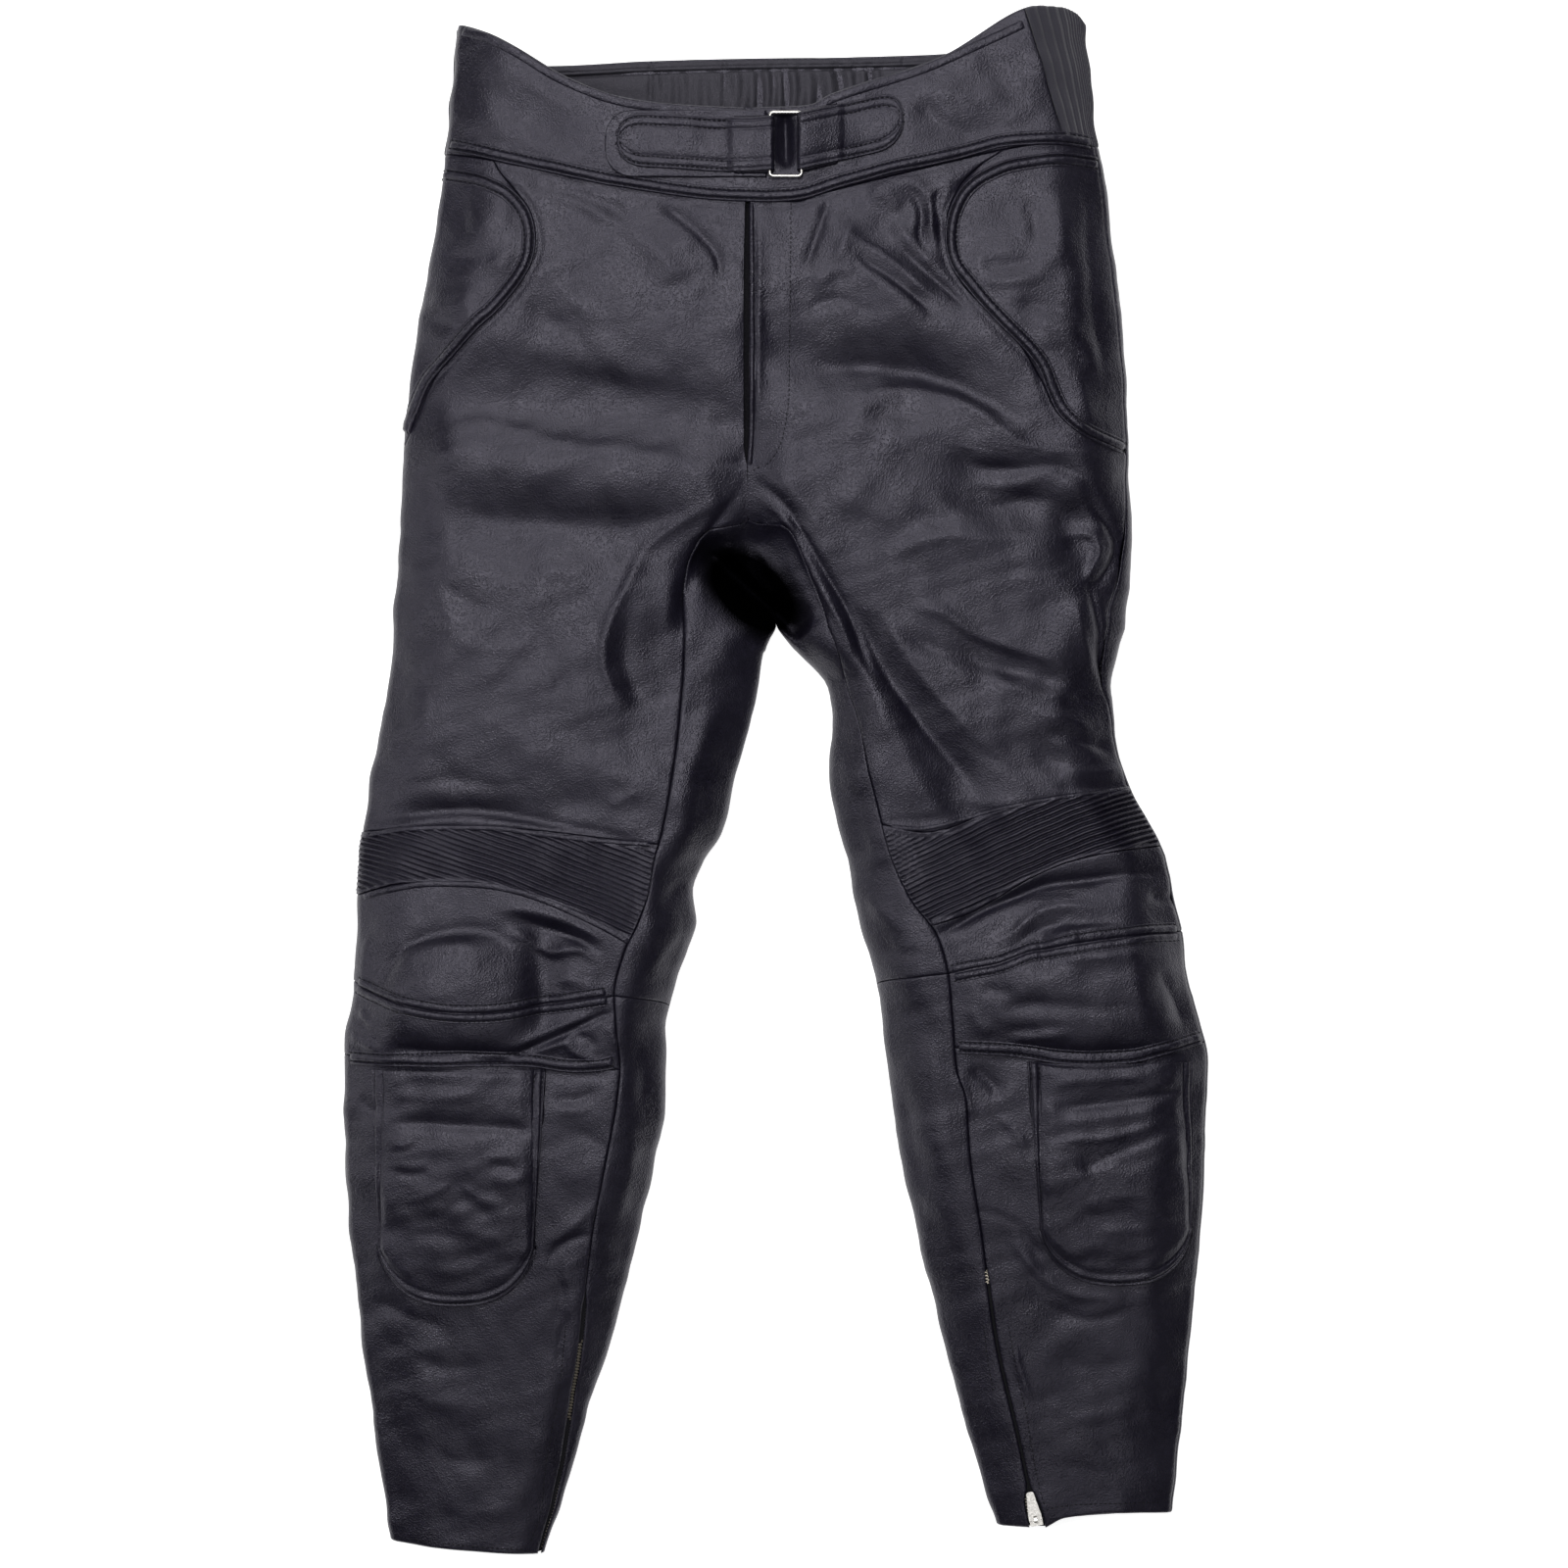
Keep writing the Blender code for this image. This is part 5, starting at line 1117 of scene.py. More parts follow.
def across_back(outer_y, inner_y, start, turn):
    """y on a straight line across the back, from the side seam to the inner edge."""
    from_out, first = (1 + np.cos(np.pi * turn)) / 2, (1 + np.cos(np.pi * start)) / 2
    return outer_y + (inner_y - outer_y) * (from_out - first) / (1 - first)


def seam_ends(half, upper, lower, share):
    """y where a row between two cross seams meets the inside-leg seam and the side seam."""
    a, b = (half.cross[name] for name in (upper, lower))
    share = np.atleast_1d(share).astype(float)
    inner = half.place(a, b, share, half.seam_turn, np.zeros_like(share), half.side_turn)[0]
    outer = half.place(a, b, share, half.seam_turn, np.ones_like(share), half.side_turn)[0]
    return inner, outer


# Places in from the edges of the seat and the calf, closer together where they turn under.
BACK_EDGE = (0, 0.8, 1.9, 3.4, 6, 9)


def back_and_strip(half):
    """The seat and calf on the floor, and the strips that wrap from them on to the front."""
    top = seam_ends(half, "waist", "band_top", 0.0)
    knee = seam_ends(half, "knee_seam", "knee_bottom", 0.0)
    foot = seam_ends(half, "knee_bottom", "hem", 1.0)
    spans = (("seat", BACK_WAIST, top[1][0], knee[0][0], knee[1][0]),
             ("calf", knee[0][0], knee[1][0], foot[0][0], foot[1][0]))
    for name, inner_top, outer_top, inner_low, outer_low in spans:
        t, f = grid(dense(inner_top - inner_low, BACK_GRID), dense(250, BACK_GRID, BACK_EDGE))
        outer_y, inner_y = outer_top + (outer_low - outer_top) * t, inner_top + (inner_low - inner_top) * t
        start = half.side_turn(outer_y)
        turn = start + (1.9995 - start) * f
        moved = dress(half, across_back(outer_y, inner_y, start, turn), turn, BACK_FOLDS, 0.7)
        wall_piece(f"{name}_leather_{half.side}", moved, half.left, [f"{name}_{half.side}"])
    for name, high, low in (("inner_thigh", 181.0, knee[0][0]), ("inner_calf", knee[0][0], foot[0][0])):
        t, f = grid(dense(high - low, GRID), dense(44, GRID))
        y = high + (low - high) * t - 9.0 * (1 - f) * (t if name == "inner_thigh" else 1 - t)
        turn = half.seam_turn(y, -1) * f
        wall_piece(f"{name}_leather_{half.side}", dress(half, y, turn, FOLDS, 0.7), half.left,
                   [f"{name}_{half.side}"])


# Middle at the top and at the foot, half width at either, height of the top and the foot,
# and how far the foot's rounding reaches up.
SHIN_PADS = {
    "r": (-213.5, -216.5, 58.5, 50.0, -193.0, -353.0, 44.0),
    "l": (224.5, 231.0, 55.5, 49.5, -188.0, -339.0, 42.0),
}

# Folds of the quilted middle of the shin guards, as in FOLDS.
GUARD_FOLDS = (
    (2.0, 8, 0, (-262, -203), (-230, -206), (-170, -202)),
    (-4.2, 7, 0.2, (-266, -222), (-240, -224), (-205, -226), (-180, -227), (-160, -232)),
    (1.6, 4, 0, (-258, -238), (-250, -239), (-243, -236)),
    (-1.2, 3, 0, (-258, -243), (-248, -241), (-240, -239)),
    (1.5, 4, 0, (-258, -252), (-244, -252), (-232, -250)),
    (-1.8, 4, 0, (-256, -257), (-245, -258), (-232, -257)),
    (1.8, 5, 0.3, (-252, -277), (-238, -274), (-226, -268), (-217, -262)),
    (1.6, 4, -0.3, (-214, -262), (-204, -270), (-192, -276), (-180, -277)),
    (-2.6, 9, 0, (-246, -290), (-226, -286), (-212, -276), (-200, -282), (-184, -286)),
    (1.5, 4, 0, (-196, -247), (-184, -246), (-172, -247)),
    (-1.6, 4, 0, (-194, -252), (-182, -253), (-172, -257)),
    (1.4, 5, 0, (-190, -264), (-178, -262), (-170, -262)),
    (-1.6, 7, 0, (-246, -300), (-230, -298), (-212, -300)),
    (1.2, 6, 0, (-214, -296), (-196, -298), (-180, -306)),
    (-2.6, 13, 0, (-250, -326), (-216, -332), (-184, -326)),
    (2.0, 7, 0, (182, -196), (220, -194), (262, -190)),
    (-4.4, 6, 0.2, (180, -213), (212, -212), (240, -208), (262, -204), (280, -198)),
    (1.6, 6, 0, (190, -224), (225, -220), (264, -213)),
    (2.2, 4, -0.3, (188, -235), (204, -234), (222, -233), (242, -228), (262, -222)),
    (-2.6, 6, 0.3, (200, -258), (212, -253), (226, -245), (246, -237), (264, -229)),
    (1.4, 7, 0, (184, -248), (198, -250), (210, -262)),
    (1.4, 5, 0, (202, -279), (220, -274), (244, -272), (262, -274)),
    (-1.7, 7, 0, (198, -286), (222, -284), (246, -282)),
    (1.3, 5, 0, (214, -297), (236, -295), (258, -297)),
    (-2.2, 11, 0, (202, -312), (232, -320), (262, -310)),
)


def shin_edges(side, t, v, inset=0.0):
    """Plan places on a shin guard: t from its top to its foot, v from one side to the other."""
    middle, low_middle, half_top, half_low, top, foot, arc = SHIN_PADS[side]
    y = top + (foot + inset + arc * (1 - np.sqrt(1 - np.abs(0.997 * v) ** 2.6)) - top) * t
    down = (top - y) / (top - foot)
    return middle + (low_middle - middle) * down + (half_top + (half_low - half_top) * down - inset) * v, y


def shin_outline(side, inset):
    """Plan path down one side of the shin guard, round its foot and up the other."""
    v = np.array((-1, -1, -1, -0.98, -0.92, -0.8, -0.5, 0, 0.5, 0.8, 0.92, 0.98, 1, 1, 1))
    t = np.array((0.02, 0.4, 0.9, 1, 1, 1, 1, 1, 1, 1, 1, 1, 0.9, 0.4, 0.02))
    return np.stack(shin_edges(side, t, v, inset), axis=1)


def lapped_edge(near):
    """The surface in from a stitched free edge: up over the edge, then two sunk rows."""
    rows = 0.85 * np.exp(-(((near - 2.1) / 0.75) ** 2)) + 0.95 * np.exp(-(((near - 7.8) / 0.95) ** 2))
    return quarter_round(near, 1.2) - rows + 0.25 * np.exp(-(((near - 5.0) / 1.6) ** 2))


# Mesh step of the guards, and the places in from an edge that carry its two rows of stitches.
GUARD_GRID = 1.75
GUARD_EDGE = (0, 0.3, 0.7, 1.2, 1.6, 2.1, 2.6, 3.3, 4.6, 6, 7, 7.4, 7.8, 8.2, 8.8)


def shin_guard(half):
    """The quilted pad on the shin: a flat stitched border round a soft middle that has
    sunk into folds and low waves across the leg."""
    t, v = grid(dense(150, GUARD_GRID, GUARD_EDGE[:8]), 2 * dense(112, GUARD_GRID, GUARD_EDGE) - 1)
    x, y = shin_edges(half.side, t, v)
    base, out = half.drape(x, y)
    near = edge_distance(np.concatenate([2 * base[:1] - base[40:0:-1], base]))[40:]
    inside = ease((near - 8.6) / 9.0)
    seed = 0.0 if half.side == "r" else 2.1
    waves = (0.5 * np.sin(y / 3.6 + 0.9 * np.sin(x / 15 + seed)) + 0.45 * np.sin(y / 6.1 + x / 31 + seed)
             + 0.3 * np.sin(y / 2.1 - x / 12 + 1.4 * np.sin(x / 9)))
    folds = 0.6 * fold_height(x, y + 5.0, GUARD_FOLDS) * (0.25 + 0.75 * inside)
    rise = 1.6 + 1.5 * lapped_edge(near) + 1.5 * inside + waves * inside * 0.4 + folds
    points = base + out * np.maximum(rise, 0.3)[..., None]
    wall_piece(f"shin_guard_{half.side}", points, True, [f"shin_pad_{half.side}"], PAD_LEATHER)
    for inset in ROWS["lap"]:
        STITCHES.append((along(shin_outline(half.side, inset))[0], 2.1))


# ---------------------------------------------------------------- waistband, fly and strap

def band_grid(half, turn, share):
    """Places on the waistband between the waist seam and its upper edge, all round."""
    low_outer = seam_ends(half, "waist", "band_top", 0.0)[1]
    low_start = half.side_turn(low_outer[0])
    back_top = Curve(BACK_TOP)
    y = half.cross["waist"](0.0) + 0 * turn
    for _ in range(16):
        x = half.ring(y, turn)[..., 0]
        low = np.where(turn <= 1, half.cross["waist"](x),
                       across_back(low_outer[0], BACK_WAIST, low_start, turn))
        top = np.where(turn <= 1, half.waist_top(x), back_top(x))
        y = y + 0.7 * (low * (1 - share) + top * share - y)
    return y, turn


# Mesh columns across the elastic, several to each of its ribs, and the ribs' pitch, which is
# wider in the first few next to the leather.
ELASTIC_COLUMNS = {"r": 210, "l": 320}
RIB_PITCH, FIRST_RIB_PITCH = 2.9, 6.2
WAIST_LEATHER = 2.2


def waistband(half):
    shares = dense(62, 2.6)
    start_low, start_top = ELASTIC_START[half.side]
    start = (start_low + (start_top - start_low) * shares)[:, None]
    f = dense(235, GRID)
    places = band_grid(half, start * f, shares[:, None] + 0 * f)
    wall_piece(f"waist_front_{half.side}", dress(half, *places, FOLDS, 0.7), not half.left,
               [f"waistband_front_{half.side}"], WAIST_LEATHER)
    f = np.linspace(0, 1, ELASTIC_COLUMNS[half.side])
    turn = start + (ELASTIC_END - start) * f
    places = band_grid(half, turn, shares[:, None] + 0 * f)
    points = half.ring(*places)
    length = np.linalg.norm(np.diff(points, axis=1), axis=-1).sum(1).mean()
    ribs = 0.8 * (np.abs(np.sin(np.pi * f * length / RIB_PITCH)) ** 0.7 - 1) + 0 * turn
    first = ease((26 - f * length) / 8)
    broad = np.abs(np.sin(np.pi * f * length / FIRST_RIB_PITCH)) ** 0.8 - 0.4
    ribs = ribs * (1 - 0.6 * first) + first * 1.3 * broad
    gather = 0.45 * np.sin(points[..., 1] / 4.5 + 1.2 * np.sin(f * length / 8))
    wall_piece(f"waist_elastic_{half.side}", dress(half, *places, (), 0.8, ribs + gather), not half.left,
               [f"waistband_elastic_{half.side}"], 1.6, "elastic")


def waist_back():
    """One piece across the back, from the elastic of one side to that of the other."""
    shares, f = dense(80, BACK_GRID), np.linspace(0, 1, 60)
    grids = []
    for half in HALVES.values():
        turn = ELASTIC_END + (1.9995 - ELASTIC_END) * f + 0 * shares[:, None]
        grids.append(dress(half, *band_grid(half, turn, shares[:, None] + 0 * f), (), 0.0))
    points = np.concatenate([grids[0], grids[1][:, -2::-1]], axis=1)
    points[..., 2] = np.maximum(points[..., 2], 0)
    wall_piece("waist_back", points, True, ["waistband_back"], WAIST_LEATHER)


LINING_HALF_WIDTH, LINING_FOOT, LINING_COLUMNS = 172, 416, 260
LINING_SEAMS = (-86, -36, 86)


def lining():
    """Inside of the back waistband: a soft facing, puckered along its elastic, with upright
    seams and a rolled edge at the top."""
    t = np.concatenate([np.linspace(0, 0.83, 26), np.linspace(0.84, 1, 20)])
    t, x = grid(t, np.linspace(-LINING_HALF_WIDTH, LINING_HALF_WIDTH, LINING_COLUMNS))
    top = Curve(BACK_TOP)(x)
    y = LINING_FOOT + (top - 1.5 - LINING_FOOT) * t
    gathered = ease((x + 40) / 16) * ease((84 - x) / 20) + 0.45 * ease((x + 86) / 8) * ease((-38 - x) / 8)
    pucker = gathered * (0.9 * np.sin(x / 1.75 + 1.5 * np.sin(x / 11) + 0.5 * np.sin(y / 7))
                         + 0.5 * np.sin(x / 3.1 + y / 9))
    rolls = 0.9 * np.sin(y / 5.2 + x / 37) + 0.6 * np.sin(y / 3.1 - x / 23 + np.sin(x / 9))
    seams = sum(np.exp(-(((x - s - 0.03 * (y - 470)) / 1.2) ** 2)) for s in LINING_SEAMS)
    binding = top - y
    rim = 1.5 * ease((7.4 - binding) / 0.9) - 0.6 * np.exp(-(((binding - 5.4) / 0.7) ** 2))
    rim -= 1.1 * np.exp(-(((binding - 8.2) / 0.9) ** 2))
    base = np.interp(x.ravel(), (-260, -190, -170, 160, 190, 260),
                     (10, 2.6, 0, 0, 2.6, 10)).reshape(x.shape)
    z = 3.2 + base + pucker * ease((1 - t) * 5 + 0.1) + rolls * 0.35 * (1 - gathered) - 0.8 * seams + rim
    points = np.stack([x, y, z], axis=-1)[::-1]
    wall_piece("waist_lining", points, True, thickness=0.8, material="lining")


def fly():
    """The facing behind the opening, the rolled lip at its edge and the curved row of stitches."""
    u, v = grid(dense(180, GRID), dense(36, GRID))
    y = 391 - 178 * u
    right = np.where(y > 240, 9, 9 - 26 * (1 - np.sqrt(np.maximum(1 - ((240 - y) / 28) ** 2, 0))))
    x = -27 + (right + 27) * v
    points = front_at(x, y, -LEATHER - 4.5)[0]
    # The facing carries painted shade: it is near black and matt so that the slot in front of it reads dark.
    wall_piece("fly_shield", points, True, ["fly_facing"], 1.1, material="underside_shade")
    strip("fly_lip", ((-16.6, 392), (-16.4, 350), (-16.2, 300), (-16.4, 250), (-17.0, 228), (-18.2, 213)),
          welt(3.4, 1.7))
    stitch_row(((10, 392), (9.6, 340), (9, 290), (8.2, 256), (4, 232), (-4, 217), (-15, 211.5)))


# The strap's base: left, right, middle and half width. The strap: its tip and half width. The
# tab: its tip, middle at the ring, half width and slant in degrees.
STRAP_BASE = (-115.0, -6.5, 430.5, 22.6)
STRAP = (-107.0, 18.2)
TAB = (85.0, 431.6, 19.2, 13.4)
# The ring: middle, outer size, radius of its wire and of its corners, sides of the wire, and
# its height over the waistband.
RING_CENTRE = (6.5, 429.5)
RING_OUTER = (23.4, 45.0)
RING_RADIUS, RING_CORNER, RING_SIDES = 1.1, 2.4, 16
RING_HEIGHT = 5.6
LAY_GAP = 0.9
STRAP_LEATHER = 1.6
STRAP_ROWS = (2.1, 7.4)


def rounded_end(distance, reach, half_width):
    """Half width of a tongue at some distance from its rounded end."""
    t = np.clip(distance / reach, 0.004, 1.0)
    return half_width * (1 - (1 - t) ** 2.6) ** (1 / 2.6)


def folded_strap(name, node_name, bar, way, path, middle, width):
    """A strap turned round one bar of the ring. path lists (distance from the bar, height
    over the waistband) of the upper leg, and way is the side of the bar on which it lies."""
    radius = RING_RADIUS + 0.3 + STRAP_LEATHER / 2
    low = RING_HEIGHT - radius
    line = [(bar + way * d, h) for d, h in ((24, min(low, path[0][1] - 1.95)), (12, low), (0, low))]
    for degrees in range(-75, 90, 15):
        a = math.radians(degrees)
        line.append((bar - way * radius * math.cos(a), RING_HEIGHT + radius * math.sin(a)))
    line += [(bar, RING_HEIGHT + radius)] + [(bar + way * d, h) for d, h in path[1:]]
    line = rounded_path(line, 6 * len(line))
    run = np.concatenate([[0], np.cumsum(np.hypot(*np.diff(line, axis=0).T))])
    even = np.unique(np.concatenate([np.arange(0, run[-1], 1.05), run[-1] - np.array((0, 0.15, 0.4, 0.7))]))
    line = np.stack([np.interp(even, run, line[:, k]) for k in (0, 1)], axis=1)
    ahead = unit(np.gradient(line, axis=0))
    aim = np.stack([way * -ahead[:, 1], 0 * even, way * ahead[:, 0]], axis=1)
    v = 2 * dense(38, 1.2, (0, 0.3, 0.8, 1.3, 1.7, 2.1, 2.5, 3.0, 4, 5.5, 6.6, 7.2, 7.8, 8.4, 9)) - 1
    x = line[:, :1] + 0 * v
    half_width = width(line[:, 0])
    y = middle(line[:, 0])[:, None] + half_width[:, None] * v
    near = half_width[:, None] * (1 - np.abs(v))
    tip = np.abs(line[-1, 0] - line[:, 0])[:, None] + 100 * (line[:, 1] < RING_HEIGHT)[:, None]
    near = np.minimum(near, tip)
    upper = (aim[:, 2:] > 0.5)[..., 0][:, None]
    swell = 0.35 * ease((near - 8.5) / 5) + 0.18 * np.sin(x / 5.1 + y / 7.7)
    level = line[:, 1:] + np.where(upper, swell + 0.75 * (lapped_edge(near) - 1), 0.0)
    level -= np.where(upper, 0.0, 0.7 * (1 - quarter_round(near, 1.3)))
    points = front_at(x, y)[0]
    flat = front_at(x, middle(line[:, 0])[:, None] + 0 * v)[0]
    points[..., 2] = 0.6 * points[..., 2] + 0.4 * flat[..., 2]
    points = points + aim[:, None] * STRAP_LEATHER / 2
    points[..., 2] += level
    wall_piece(name, points, way > 0, [node_name], STRAP_LEATHER - 0.1)


def strap_border(tip, way, middle, width, from_x, level):
    """Rows of stitches round a tongue, inset from its edge."""
    d = np.concatenate([[0.1, 0.6, 1.5, 3, 5.5, 9], np.linspace(14, abs(from_x - tip), 7)])
    x = tip - way * d
    upper = np.stack([x, middle(x) + width(x)], axis=1)[::-1]
    line, _ = along(np.concatenate([upper, np.stack([x, middle(x) - width(x)], axis=1)]))
    for inset in STRAP_ROWS:
        STITCHES.append((line - way * sideways(line) * inset, level))


def strap_and_tab():
    left_bar = RING_CENTRE[0] - RING_OUTER[0] / 2 + RING_RADIUS
    right_bar = RING_CENTRE[0] + RING_OUTER[0] / 2 - RING_RADIUS
    tip, half_width = STRAP
    run = left_bar - tip
    rest = LAY_GAP + STRAP_LEATHER + 0.4 + STRAP_LEATHER / 2
    path = [(0, rest + 1.95), (12, rest + 2.1), (24, rest + 1.95), (31, rest), (52, rest), (run - 14, rest),
            (run - 1.5, rest), (run, rest)]

    strap_middle = Curve(((-107, 433.2), (-90, 432.6), (-60, 430.8), (-35, 429.4), (-20, 429.4), (-5, 430)))

    def strap_width(x):
        return rounded_end(x - tip, 22.0, half_width)

    folded_strap("strap", "waist_strap", left_bar, -1, path, strap_middle, strap_width)
    strap_border(tip, -1, strap_middle, strap_width, left_bar - 3, rest + 0.45)
    tip, middle, half_width, degrees = TAB
    run = tip - right_bar
    rest = LAY_GAP + STRAP_LEATHER / 2
    path = [(0, rest + 1.95), (12, rest + 4.0), (24, rest + 2.1), (31, rest), (run - 20, rest),
            (run - 8, rest), (run - 1.5, rest), (run, rest)]
    slope = math.tan(math.radians(degrees))

    def tab_middle(x):
        return middle + np.maximum(x - right_bar, 0) * slope

    def tab_width(x):
        return rounded_end(tip + 0 * x - x, 19.0, half_width)

    folded_strap("tab", "waist_tab", right_bar, 1, path, tab_middle, tab_width)
    strap_border(tip, 1, tab_middle, tab_width, right_bar + 20, rest + 0.45)


def strap_base():
    left, right, middle, half_width = STRAP_BASE
    tip = left + np.array((0, 0.3, 0.8, 1.6, 3))
    x = np.unique(np.concatenate([tip, np.arange(left + 4.5, right, 2.0), [right]]))
    v = 2 * dense(44, 1.8, (0, 0.4, 1.0, 1.8)) - 1
    width = rounded_end(x - left, 22.0, half_width)[:, None]
    near = np.minimum(width * (1 - np.abs(v)), (x - left)[:, None])
    sunk_row = 0.3 * np.exp(-(((near - 2.6) / 0.7) ** 2))
    lift = LAY_GAP + STRAP_LEATHER - 0.8 * (1 - quarter_round(near, 1.3)) - sunk_row
    points, _ = front_at(x[:, None] + 0 * v, middle + width * v, lift)
    wall_piece("strap_base", points, True, ["waist_strap_base"], 1.4)


def ring_wire():
    """The rectangular ring: a wire of round section carried round a rectangle with round corners."""
    level = front_at(RING_CENTRE[0] - 36, RING_CENTRE[1])[0][2] + RING_HEIGHT
    wide, tall = RING_OUTER[0] / 2 - RING_RADIUS, RING_OUTER[1] / 2 - RING_RADIUS
    corner = RING_CORNER
    centre = []
    for k, (sx, sy) in enumerate(((1, 1), (-1, 1), (-1, -1), (1, -1))):
        a = np.radians(90 * k + np.linspace(0, 90, 9))
        centre.append(np.stack([sx * (wide - corner) + corner * np.cos(a),
                                sy * (tall - corner) + corner * np.sin(a)], 1))
    centre = np.concatenate(centre)
    ahead = unit(np.roll(centre, -1, axis=0) - np.roll(centre, 1, axis=0))
    side = np.stack([ahead[:, 1], -ahead[:, 0]], axis=1)
    angle = np.linspace(0, 2 * np.pi, RING_SIDES + 1)[:-1]
    xy = centre[:, None] + side[:, None] * (RING_RADIUS * np.cos(angle))[:, None]
    z = level + RING_RADIUS * np.sin(angle) + 0 * xy[..., 0]
    points = np.concatenate([xy + np.array(RING_CENTRE), z[..., None]], axis=-1)
    mesh = grid_mesh("wire", points, closed=True)
    last = (len(points) - 1) * RING_SIDES
    work = bmesh.new()
    work.from_mesh(mesh)
    work.verts.ensure_lookup_table()
    for j in range(RING_SIDES):
        following = (j + 1) % RING_SIDES
        work.faces.new([work.verts[i] for i in (last + j, last + following, following, j)])
    bmesh.ops.recalc_face_normals(work, faces=work.faces)
    work.to_mesh(mesh)
    work.free()
    smooth(mesh)
    add_piece("ring_wire", mesh, "nickel", ["waist_ring"])


# ---------------------------------------------------------------- ankle zips

SLIDER_Y = -499.0
# Where the slot gapes enough for the teeth to show. Elsewhere they lie aside and deeper, under
# the leather's edge.
TEETH_SHOW = {"r": (-376.0, -434.0), "l": (-326.0, -340.0)}
TEETH_ASIDE, TEETH_DEEPER = 3.4, 1.6
TOOTH_PITCH, TOOTH_OFFSET, TOOTH_SIZE = 1.05, 0.62, (1.9, 0.95, 0.9)
TAPE_HALF_WIDTH = 8.0


def ankle_zip(half):
    """The tape behind the slot in the inside-leg seam, and two rows of meshing teeth."""
    side = half.side
    foot = seam_ends(half, "knee_bottom", "hem", 1.0)[0][0] + 0.8
    top = ZIP_TOP[side] + 6
    t, v = grid(dense(top - foot, GRID), np.linspace(0, 1, 11))
    y = top + (foot - top) * t
    seam, inner = half.at("seam", y), half.at("inner", y)
    near = np.minimum(TAPE_HALF_WIDTH, np.abs(seam - inner) - 0.2)
    across = -near + (near + TAPE_HALF_WIDTH) * v
    x = seam + half.facing * across
    base, out = half.drape(x, y)
    wall_piece(f"zip_tape_{side}", base - out * (LEATHER + 1.1), half.left, [f"ankle_zip_{side}"], 0.7,
               "tape")
    y = np.arange(ZIP_TOP[side] - 4, SLIDER_Y + 5 if half.left else foot + 2, -TOOTH_PITCH)
    row = np.where(np.arange(len(y)) % 2, 1.0, -1.0)
    high, low = TEETH_SHOW[side]
    hidden = 1 - ease((high - y) / 4) * ease((y - low) / 4)
    x = half.at("seam", y) + row * TOOTH_OFFSET - half.facing * TEETH_ASIDE * hidden
    point, out = half.drape(x, y)
    depth = 0.5 + np.where(row > 0, 1.3, 0.0) + TEETH_DEEPER * hidden
    block_mesh(f"zip_teeth_{side}", point - out * depth[:, None], out, TOOTH_SIZE)


def block_mesh(name, centre, out, size):
    """Rounded blocks: size is (across, along, tall), each block standing along out."""
    across = unit(np.cross(np.array((0.0, 1.0, 0.0)), out))
    ahead = np.cross(out, across)
    corners = []
    for z, inset in ((-0.5, 0.0), (0.25, 0.0), (0.5, 0.22)):
        for sx, sy in ((-1, -1), (1, -1), (1, 1), (-1, 1)):
            shift = across * sx * size[0] * (0.5 - inset * 0.5) + ahead * sy * size[1] * (0.5 - inset * 0.6)
            corners.append(centre + shift + out * z * size[2])
    points = np.stack(corners, axis=1)
    one = [(3, 2, 1, 0), (8, 9, 10, 11)]
    for ring in (0, 4):
        one += [(ring + k, ring + (k + 1) % 4, ring + 4 + (k + 1) % 4, ring + 4 + k) for k in range(4)]
    faces = [[i + 12 * k for i in face] for k in range(len(centre)) for face in one]
    mesh = bpy.data.meshes.new(name)
    mesh.from_pydata((points.reshape(-1, 3) * MM).tolist(), [], faces)
    mesh.update()
    add_piece(name, mesh, "teeth")


# ---------------------------------------------------------------- seams and edges

